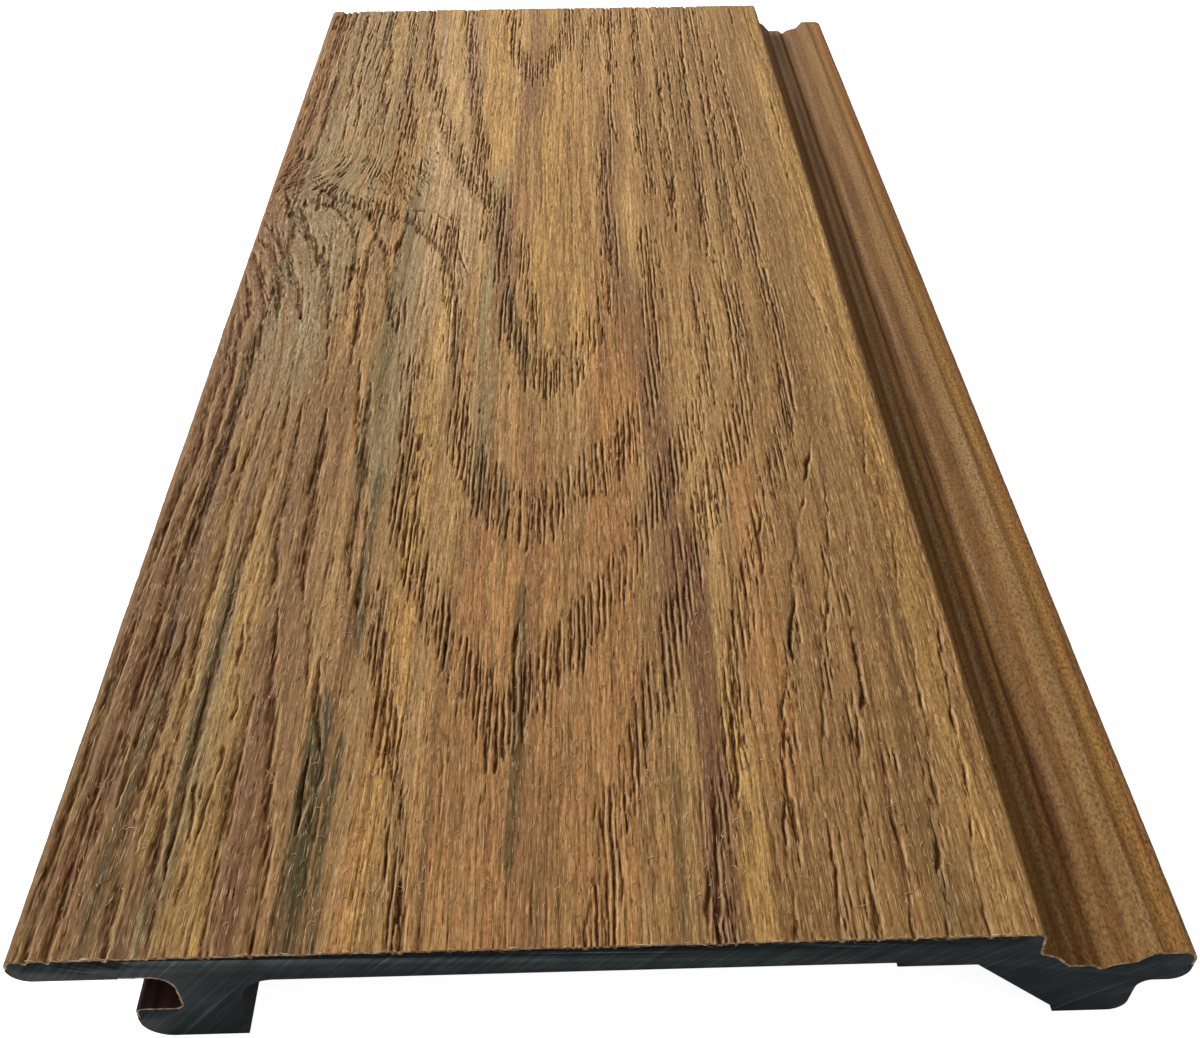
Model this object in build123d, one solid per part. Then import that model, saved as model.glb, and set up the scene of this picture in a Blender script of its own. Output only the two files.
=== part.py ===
from build123d import *
import math
import os

# Composite cladding board, a short length sawn square at both ends.
# It is extruded in one pass: a dark solid core with a thin wood-coloured cap on its face
# and a lining of the same cap in its groove. The saw cut shows all three.
# X runs across the board, from the groove edge to the tongue edge, Y along it and Z out
# of its face. The origin is the middle of the bottom of the box round the board, in the
# plane of its two feet. Sizes are in millimetres.

# Overall sizes
board_length = 325.0
board_width = 156.0
board_thickness = 21.0
cap_thickness = 0.4

# Web between the two legs
web_thickness = 6.6
web_pad_thickness = 7.6
web_pad_width = 10.8

# Lip that laps over the next board
lip_thickness = 5.5
lip_reach = 13.8
nose_top_radius = 1.7
nose_bottom_radius = 2.9

# Tongue, and the groove that takes the tongue of the next board
tongue_length = 6.4
tongue_thickness = 7.2
tongue_top_radius = 2.2
tongue_bottom_radius = 2.5
tongue_root_radius = 2.0
play_above_tongue = 0.2
play_below_tongue = 0.4
groove_depth = 6.6
groove_roof_radius = 2.8
groove_floor_radius = 1.0

# Leg under the groove edge
leg_width = 8.8
leg_taper = 1.2
leg_fillet_radius = 5.0
lower_lip_top_radius = 1.2
lower_lip_bottom_radius = 4.0

# Sloping leg and foot under the tongue edge
foot_width = 10.1
foot_heel_height = 1.2
foot_heel_radius = 1.9
foot_corner_radius = 2.4
leg_slope_angle = 43.5

# Recess beside the face, with the notch that guides the screws
lap_width = 21.2
face_edge_radius = 1.4
recess_wall_depth = 5.1
recess_wall_lean = 0.4
shelf_width = 2.5
shelf_fall = 1.2
ramp_width = 2.0
recess_depth = 8.4
notch_offset = 7.6
notch_width = 2.5
notch_depth = 1.0
step_width = 1.6
step_height = 1.9

# Small radii of the die
worn_radius = 0.4
crisp_radius = 0.2

# Levels and places worked out from the sizes above
groove_roof_z = board_thickness - lip_thickness
groove_height = play_below_tongue + tongue_thickness + play_above_tongue
groove_floor_z = groove_roof_z - groove_height
tongue_underside_z = groove_floor_z + play_below_tongue
tongue_top_z = tongue_underside_z + tongue_thickness
web_underside_z = board_thickness - web_thickness
web_pad_z = board_thickness - web_pad_thickness

groove_end_x = lip_reach + groove_depth
leg_flank_x = groove_end_x + leg_width
leg_foot_x = leg_flank_x - leg_taper
recess_wall_x = board_width - lap_width
face_edge_x = recess_wall_x - recess_wall_lean
foot_side_x = board_width - tongue_length
heel_x = foot_side_x - foot_width
slope_run = (web_pad_z - foot_heel_height) / math.tan(math.radians(leg_slope_angle))
slope_top_x = heel_x - slope_run
pad_edge_x = slope_top_x - web_pad_width

shelf_z = board_thickness - recess_wall_depth
ramp_z = shelf_z - shelf_fall
recess_floor_z = board_thickness - recess_depth
shelf_end_x = recess_wall_x + shelf_width
floor_start_x = shelf_end_x + ramp_width
notch_start_x = recess_wall_x + notch_offset
notch_middle_x = notch_start_x + notch_width / 2
notch_end_x = notch_start_x + notch_width
step_top_x = foot_side_x
step_foot_x = step_top_x - step_width
step_foot_z = tongue_top_z - step_height

# The outline, clockwise from the lip's nose, as corners of (x, z, radius). The board is
# always on the right hand of the way along it.
face_corners = [
    (0.0, board_thickness, nose_top_radius),
    (face_edge_x, board_thickness, face_edge_radius),
    (recess_wall_x, shelf_z, worn_radius),
    (shelf_end_x, ramp_z, worn_radius),
    (floor_start_x, recess_floor_z, worn_radius),
    (notch_start_x, recess_floor_z, worn_radius),
    (notch_middle_x, recess_floor_z - notch_depth, crisp_radius),
    (notch_end_x, recess_floor_z, worn_radius),
    (step_foot_x, step_foot_z, worn_radius),
    (step_top_x, tongue_top_z, worn_radius),
    (board_width, tongue_top_z, tongue_top_radius),
]
back_corners = [
    (board_width, tongue_underside_z, tongue_bottom_radius),
    (foot_side_x, tongue_underside_z, tongue_root_radius),
    (foot_side_x, 0.0, foot_corner_radius),
    (heel_x, 0.0, crisp_radius),
    (heel_x, foot_heel_height, foot_heel_radius),
    (slope_top_x, web_pad_z, worn_radius),
    (pad_edge_x, web_pad_z, crisp_radius),
    (pad_edge_x, web_underside_z, crisp_radius),
    (leg_flank_x, web_underside_z, leg_fillet_radius),
    (leg_foot_x, 0.0, crisp_radius),
    (lip_reach, 0.0, lower_lip_bottom_radius),
]
groove_corners = [
    (lip_reach, groove_floor_z, lower_lip_top_radius),
    (groove_end_x, groove_floor_z, groove_floor_radius),
    (groove_end_x, groove_roof_z, groove_roof_radius),
]
nose_corners = [(0.0, groove_roof_z, nose_bottom_radius)]


def direction(start, end):
    """Unit vector from one outline point to the next, as (x, z)."""
    run = math.dist(start[:2], end[:2])
    return (end[0] - start[0]) / run, (end[1] - start[1]) / run


def turn(before, corner, after):
    """Angle in radians by which the outline turns at a corner, positive to the right."""
    ax, az = direction(before, corner)
    bx, bz = direction(corner, after)
    return math.atan2(az * bx - ax * bz, ax * bx + az * bz)


def tangent_length(before, corner, after):
    """How far the corner's arc reaches along each of its two runs."""
    return corner[2] * math.tan(abs(turn(before, corner, after)) / 2)


def within_walls(corners):
    """The closed outline's corners, with each radius held to what its runs have room for."""
    count = len(corners)
    reach = [tangent_length(corners[i - 1], corners[i], corners[(i + 1) % count]) for i in range(count)]
    held = []
    for i, (x, z, radius) in enumerate(corners):
        share = 1.0
        for j in (i - 1, (i + 1) % count):
            run = math.dist((x, z), corners[j][:2])
            share = min(share, 0.98 * run / max(reach[i] + reach[j], 1e-9))
        held.append((x, z, radius * share))
    return held


def straight_middle(start, end, before, after):
    """Middle of the straight stretch that is left between two rounded corners."""
    dx, dz = direction(start, end)
    run = math.dist(start[:2], end[:2])
    first = tangent_length(before, start, end)
    last = tangent_length(start, end, after)
    along = (first + run - last) / 2
    return start[0] + dx * along, start[1] + dz * along


def inset(path, depth):
    """The path moved to its right, into the board, with its arcs kept concentric."""
    moved = []
    for i, point in enumerate(path):
        ahead = direction(point, path[i + 1]) if i + 1 < len(path) else None
        behind = direction(path[i - 1], point) if i else ahead
        ahead = ahead or behind
        normal = (behind[1] + ahead[1], -behind[0] - ahead[0])
        scale = depth / (1 + behind[0] * ahead[0] + behind[1] * ahead[1])
        radius = point[2] if len(point) > 2 else 0.0
        if radius > 0:
            side = math.copysign(1, turn(path[i - 1], point, path[i + 1]))
            radius = max(radius - side * depth, 0.0)
        moved.append((point[0] + normal[0] * scale, point[1] + normal[1] * scale, radius))
    return moved


def profile(corners):
    """A flat face in the XZ plane with the given closed outline."""
    points = [(x - board_width / 2, z) for x, z, _ in corners]
    radii = [radius for _, _, radius in corners]
    with BuildSketch(Plane.XZ) as sketch:
        with BuildLine():
            FilletPolyline(*points, radius=radii, close=True)
        make_face()
    return sketch.sketch


def strip(path):
    """Closed outline of the cap layer under a stretch of the board's surface."""
    start, *corners, end = path
    outer = [(*start, 0.0), *corners, (*end, 0.0)]
    return outer + inset(path, cap_thickness)[::-1]


def extruded(corners):
    """The outline pulled out to the board's length, half to each side of the origin."""
    return extrude(profile(corners), amount=board_length / 2, both=True)


# Corners with their radii held, and the places where the cap ends
outline = within_walls(face_corners + back_corners + groove_corners + nose_corners)
after_face = len(face_corners)
after_back = after_face + len(back_corners)
after_groove = after_back + len(groove_corners)
face_corners = outline[:after_face]
back_corners = outline[after_face:after_back]
groove_corners = outline[after_back:after_groove]
nose_corners = outline[after_groove:]

nose_split = straight_middle(nose_corners[0], face_corners[0], groove_corners[-1], face_corners[1])
tongue_split = straight_middle(face_corners[-1], back_corners[0], face_corners[-2], back_corners[1])
lower_lip_split = straight_middle(back_corners[-1], groove_corners[0], back_corners[-2], groove_corners[1])
roof_split = (lip_reach, groove_roof_z)

face_path = [nose_split, *face_corners, tongue_split]
groove_path = [lower_lip_split, *groove_corners, roof_split]

# The core's outline goes round under the cap and outside it elsewhere
core_outline = [
    (*nose_split, 0.0),
    *inset(face_path, cap_thickness),
    (*tongue_split, 0.0),
    *back_corners,
    (*lower_lip_split, 0.0),
    *inset(groove_path, cap_thickness),
    (*roof_split, 0.0),
    *nose_corners,
]

core = extruded(core_outline)
face_cap = extruded(strip(face_path))
groove_cap = extruded(strip(groove_path))

os.makedirs("parts", exist_ok=True)
export_step(core, "parts/core.step")
export_step(face_cap, "parts/face_cap.step")
export_step(groove_cap, "parts/groove_cap.step")
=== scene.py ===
import bpy
import math
import numpy as np
from mathutils import Matrix, Vector


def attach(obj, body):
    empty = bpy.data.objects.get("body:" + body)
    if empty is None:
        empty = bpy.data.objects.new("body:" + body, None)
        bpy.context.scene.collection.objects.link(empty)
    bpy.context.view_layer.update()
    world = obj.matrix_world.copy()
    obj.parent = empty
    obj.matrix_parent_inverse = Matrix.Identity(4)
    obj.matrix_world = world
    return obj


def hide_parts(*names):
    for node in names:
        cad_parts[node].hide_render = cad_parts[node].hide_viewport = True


# Composite cladding board. Lengths in the tables are millimetres: x from the board's
# groove edge, y from its near sawn end, z from the plane of its feet.

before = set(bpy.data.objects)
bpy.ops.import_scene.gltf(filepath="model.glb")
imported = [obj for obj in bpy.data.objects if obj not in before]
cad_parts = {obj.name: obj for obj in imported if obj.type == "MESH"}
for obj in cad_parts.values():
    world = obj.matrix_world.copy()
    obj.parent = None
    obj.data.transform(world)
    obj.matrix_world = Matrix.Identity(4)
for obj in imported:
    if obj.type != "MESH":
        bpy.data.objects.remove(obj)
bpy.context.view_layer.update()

MM = 0.001
LENGTH = 325.0
WIDTH = 156.0
CAP = 0.4

# Room left inside the CAD box at the sawn ends and over the face
END_ROOM = 0.22
TOP_ROOM = 0.12

# How far the inner side of the cap's pieces lies under the cap, and in from the ends
INNER_ROOM = 0.35
INNER_START = 0.6

# Outline of the capped surface and of the bare core, as corners of x, z and radius
FACE_PATH = [
    (0.0, 18.85, 0.0), (0.0, 21.0, 1.7), (134.4, 21.0, 1.4), (134.8, 15.9, 0.4), (137.3, 14.7, 0.4),
    (139.3, 12.6, 0.4), (142.4, 12.6, 0.4), (143.65, 11.6, 0.2), (144.9, 12.6, 0.4),
    (148.0, 13.4, 0.4), (149.6, 15.3, 0.4), (156.0, 15.3, 2.2), (156.0, 11.85, 0.0),
]
BACK_PATH = [
    (156.0, 11.85, 0.0), (156.0, 8.1, 2.5), (149.6, 8.1, 2.0), (149.6, 0.0, 2.4), (139.5, 0.0, 0.2),
    (139.5, 1.2, 1.9), (126.64, 13.4, 0.4), (115.84, 13.4, 0.2), (115.84, 14.4, 0.2),
    (29.2, 14.4, 5.0), (28.0, 0.0, 0.2), (13.8, 0.0, 4.0), (13.8, 5.25, 0.0),
]
GROOVE_PATH = [(13.8, 5.25, 0.0), (13.8, 7.7, 1.2), (20.4, 7.7, 1.0), (20.4, 15.5, 2.8), (13.8, 15.5, 0.0)]
NOSE_PATH = [(13.8, 15.5, 0.0), (0.0, 15.5, 2.9), (0.0, 18.85, 0.0)]

# Mesh steps in millimetres: across the surfaces, round their arcs and along the board
FACE_STEP = 0.17
RECESS_STEP = 0.4
LINING_STEP = 0.5
ARC_STEP = 0.2
PLAIN_ARC_STEP = 0.25
ROW_STEP = 0.7

# First flat place on the face, where its strips end, and how many strips there are
FLAT_START = 1.8
STRIPS_END = 135.8
STRIPS = 5

# The traced grain leans by this much per unit of length and lies a little to the right
LEAN = 0.0039
TRACE_SHIFT = 0.15

# Grooves to the left of this are broad soft furrows, the others narrow cracks
FURROWS_END = 36

# Loose fibres: how many lie on the face and stand on the near cut, their points and top
LYING_HAIRS = 3600
BURRS = 240
HAIR_POINTS = 5
HAIR_TOP = 20.93

# Middle of the saw marks' arcs on the ends, x and z in metres, and their reach
SAW_CENTRE = (0.250, -0.226)
SAW_REACH = 0.016

# How strongly the white backdrop lights the board, the floor's glow to the camera, and
# how far the floor reaches to each side, in metres
WORLD_LIGHT = 0.2
FLOOR_GLOW = 0.92
FLOOR_REACH = 6.0


# Shapes in the section's plane

def corner_arc(before, corner, after, radius):
    """Ways in and out of a rounded corner, its turn, and how far its arc reaches along both."""
    ahead = corner - before
    ahead = ahead / np.linalg.norm(ahead)
    leave = after - corner
    leave = leave / np.linalg.norm(leave)
    turn = math.atan2(ahead[1] * leave[0] - ahead[0] * leave[1], ahead @ leave)
    reach = radius * math.tan(abs(turn) / 2)
    return ahead, leave, turn, reach


def moved_in(path, depth):
    """The path moved into the board by depth, with its arcs kept concentric."""
    moved = []
    last = len(path) - 1
    for i, (x, z, radius) in enumerate(path):
        here = np.array((x, z))
        before = here - np.array(path[i - 1][:2]) if i else None
        after = np.array(path[i + 1][:2]) - here if i < last else None
        before = after if before is None else before
        after = before if after is None else after
        before = before / np.linalg.norm(before)
        after = after / np.linalg.norm(after)
        n = np.array((-before[1] - after[1], before[0] + after[0]))
        here = here - n * depth / (1 + before @ after)
        if radius > 0:
            side = math.copysign(1, before[1] * after[0] - before[0] * after[1])
            radius = max(radius - side * depth, 0.02)
        moved.append((here[0], here[1], radius))
    return moved


def round_path(path, step, arc_step, counts=None):
    """Points and outward normals along a path with rounded corners, and the steps per run.

    step is a number or a list with one number per run. counts, where given, sets the steps.
    """
    points, normals, used = [], [], []
    fixed = iter(counts) if counts is not None else None
    last = np.array(path[0][:2])
    for i in range(1, len(path)):
        corner = np.array(path[i][:2])
        radius = path[i][2]
        ahead = corner - np.array(path[i - 1][:2])
        ahead = ahead / np.linalg.norm(ahead)
        reach = turn = 0.0
        if radius > 0:
            ahead, leave, turn, reach = corner_arc(
                np.array(path[i - 1][:2]), corner, np.array(path[i + 1][:2]), radius)
        stop = corner - ahead * reach
        run_step = step[i - 1] if isinstance(step, list) else step
        count = next(fixed) if fixed else max(1, round(np.linalg.norm(stop - last) / run_step))
        used.append(count)
        start = np.array((-ahead[1], ahead[0]))
        for k in range(0 if i == 1 else 1, count + 1):
            points.append(last + (stop - last) * k / count)
            normals.append(start)
        if radius > 0:
            side = math.copysign(1, turn)
            centre = stop - side * radius * start
            count = next(fixed) if fixed else max(2, round(radius * abs(turn) / arc_step))
            used.append(count)
            for k in range(1, count + 1):
                a = -turn * k / count
                n = np.array((start[0] * math.cos(a) - start[1] * math.sin(a),
                              start[0] * math.sin(a) + start[1] * math.cos(a)))
                points.append(centre + side * radius * n)
                normals.append(n)
            last = corner + leave * reach
        else:
            last = corner
    return np.array(points), np.array(normals), used


# Noise and lines on the unrolled surface

def value_noise(seed, x, y, cell_x, cell_y):
    """Smooth noise from -1 to 1 with the given cell size along x and y."""
    rng = np.random.default_rng(seed)
    u = x / cell_x + 40
    v = y / cell_y + 40
    iu = np.floor(u).astype(np.int32)
    iv = np.floor(v).astype(np.int32)
    table = rng.uniform(-1, 1, (int(iu.max()) + 2, int(iv.max()) + 2)).astype(np.float32)
    fu = u - iu
    fv = v - iv
    fu = fu * fu * (3 - 2 * fu)
    fv = fv * fv * (3 - 2 * fv)
    low = table[iu, iv] * (1 - fu) + table[iu + 1, iv] * fu
    high = table[iu, iv + 1] * (1 - fu) + table[iu + 1, iv + 1] * fu
    return low * (1 - fv) + high * fv


def smooth(low, high, value):
    """0 below low, 1 above high and a smooth rise between."""
    t = np.clip((value - low) / (high - low), 0, 1)
    return t * t * (3 - 2 * t)


def distance(points, x, y, squeeze, reach, taper=0.0):
    """Distance to a chain of points, with lengths along y counted at squeeze times their size.

    With a taper the distance grows over that length towards both ends, so that they narrow.
    """
    best = np.full(x.shape, reach, dtype=np.float32)
    lengths = [math.dist(a, b) for a, b in zip(points[:-1], points[1:])]
    whole = sum(lengths)
    start = 0.0
    for (ax, ay), (bx, by), length in zip(points[:-1], points[1:], lengths):
        pad_y = reach / squeeze
        near = ((x > min(ax, bx) - reach) & (x < max(ax, bx) + reach)
                & (y > min(ay, by) - pad_y) & (y < max(ay, by) + pad_y))
        if near.any():
            px = x[near] - ax
            py = (y[near] - ay) * squeeze
            dx = bx - ax
            dy = (by - ay) * squeeze
            t = np.clip((px * dx + py * dy) / max(dx * dx + dy * dy, 1e-6), 0, 1)
            d = np.hypot(px - t * dx, py - t * dy)
            if taper > 0:
                place = start + t * length
                d = d / np.clip(np.minimum(place, whole - place) / min(taper, 0.5 * whole), 0.15, 1)
            best[near] = np.minimum(best[near], d)
        start += length
    return best


# Bands of short pores that follow the growth rings: half-width, strength and places
BANDS = [
    # nested arches, from the far end to the near end
    (2.3, 1.0, [(55.5, 330), (57, 310), (58.3, 298), (60, 288), (62, 280), (64, 276), (66.5, 279),
        (69.5, 287), (71.5, 296), (73.3, 306), (75, 330)]),
    (1.2, 0.8, [(80.5, 330), (79.5, 312), (79, 298), (78, 288), (77.2, 280)]),
    (2.0, 1.0, [(57, 196), (58, 185), (58.6, 175), (58.5, 162), (60, 150), (61.8, 141), (64, 133),
        (67, 128), (70.5, 127), (74, 130), (77, 136), (79.5, 144), (81.5, 154), (83, 166), (83, 180),
        (82.3, 196), (82.5, 212), (83, 226)]),
    (2.0, 1.0, [(46.5, 188), (46.3, 176), (47.5, 163), (48.7, 150), (50.5, 138), (51.5, 126), (52.3, 114),
        (53.5, 103), (56, 95), (59.5, 89.5), (63, 86), (66.5, 84.5), (70, 86.5), (74, 90.5), (78, 95),
        (82, 100), (85, 106), (88, 113), (89.7, 122), (90.8, 134), (91.2, 150), (91.2, 178)]),
    (1.9, 1.0, [(41.5, 128), (42, 114), (43, 100), (43.2, 86), (45, 78), (48, 70), (51, 62), (54, 54),
        (57, 48), (60, 42), (62.5, 36), (65, 40), (68, 47), (72, 53.5), (76, 58.5), (79.5, 63), (82.5, 70),
        (85, 78), (88, 87), (91, 95), (94.5, 102), (97.5, 109), (99.3, 118), (100.5, 130), (101.3, 142),
        (100.8, 158)]),
    (1.7, 0.95, [(41.5, 62), (43.3, 50), (45, 41), (47, 32), (48.6, 22), (50.3, 10), (50.8, -4)]),
    (2.1, 0.95, [(75.8, -6), (76.8, 6), (78.6, 16), (81.2, 26), (83.6, 34), (86, 42), (88.4, 50),
        (90.2, 58), (92.3, 66), (94, 75), (95.8, 82), (98.2, 88), (100.6, 95), (103.3, 102), (106.2, 109),
        (108.2, 117), (108.8, 130), (109, 146), (108.8, 162)]),
    (1.7, 0.95, [(92.5, -6), (93, 8), (94.3, 20), (96, 30), (97.6, 39), (98.7, 49), (100, 57), (101.6, 64),
        (104, 71), (106, 78), (108.4, 86), (110, 93), (112, 101), (114, 109), (115.6, 118), (116.6, 130),
        (117.2, 146), (116.6, 162), (116, 180), (117, 200), (117.8, 222), (118, 256)]),
    # limbs of the far left
    (1.9, 0.95, [(43.3, 330), (43.6, 312), (44.2, 300), (45, 288), (46, 276), (47.6, 266), (48.8, 254),
        (49.3, 243), (50.4, 232), (51.6, 220), (52.6, 210), (54.5, 202), (57, 194)]),
    (1.5, 0.9, [(38.3, 264), (38.8, 250), (41, 240), (43.6, 231), (46, 223), (47.6, 214), (49.6, 207)]),
    (1.3, 0.8, [(53, 210), (54, 200), (54.2, 186)]),
    (1.2, 0.8, [(62.6, 180), (63.3, 166), (65.5, 154), (66.3, 146)]),
    (1.3, 0.8, [(41.5, 192), (42, 178)]),
    (1.5, 0.85, [(45, 104), (45.2, 92), (46, 80), (47.3, 68)]),
    (1.5, 0.95, [(31, 326), (31.6, 310), (32.6, 298), (33.6, 286), (34.2, 276), (37, 266), (38, 256)]),
    (1.4, 0.95, [(25.4, 326), (26.2, 308), (26.9, 294), (28, 278), (29.4, 264), (31, 252), (31.6, 236)]),
    (3.2, 0.62, [(20, 330), (20, 262), (22, 232), (25, 216)]),
    (3.4, 0.5, [(14, 320), (14, 250), (16, 222)]),
    (3.0, 0.65, [(30, 262), (31, 232), (32, 212)]),
    # the knot
    (1.1, 0.8, [(3.6, 208), (7.5, 196), (10.8, 190), (13.8, 183), (18.3, 172), (20.2, 162), (22.6, 149)]),
    # straight bands of the right-hand side
    (1.5, 0.85, [(85.6, 330), (86, 300), (85.8, 270), (85.2, 246), (83.5, 230)]),
    (1.0, 0.6, [(89.5, 330), (89, 300), (88, 282)]),
    (1.4, 0.8, [(94.6, 330), (94.6, 306), (93.6, 284), (92.2, 262), (92, 240), (93.4, 222), (94, 206)]),
    (1.2, 0.75, [(99.6, 330), (99.6, 300), (99.3, 268), (98.6, 240), (98.3, 214), (97.4, 186)]),
    (1.7, 0.85, [(106.8, 330), (107, 300), (106.4, 276), (105, 246), (106.6, 222), (106, 200), (105, 180),
        (107.6, 164)]),
    (1.1, 0.6, [(102.4, 330), (102.2, 290), (102, 250), (101.6, 216)]),
    (1.5, 0.8, [(112.6, 330), (112, 296), (112.4, 262), (112.2, 232), (113, 200), (112.2, 170)]),
    (1.0, 0.6, [(116.4, 330), (116.2, 300), (115.6, 268), (115, 236)]),
    (0.9, 0.55, [(83.2, 330), (83.4, 306)]),
    # small bands of the near right
    (1.2, 0.75, [(102.6, -4), (103, 12), (104, 26), (105.6, 36), (107.4, 48), (109.2, 57), (110.6, 66)]),
    (1.1, 0.7, [(112.6, -4), (113.2, 14), (114.4, 30), (115.8, 40)]),
    (0.9, 0.6, [(118.6, 12), (119, 30)]),
    (1.0, 0.6, [(116.6, 70), (113.2, 50), (110.9, 35), (109.5, 18), (107.9, -4)]),
    (0.9, 0.5, [(123.8, 30), (123.2, 15), (122, -4)]),
    (0.9, 0.6, [(118.2, 44), (118.2, 62)]),
]

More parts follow.
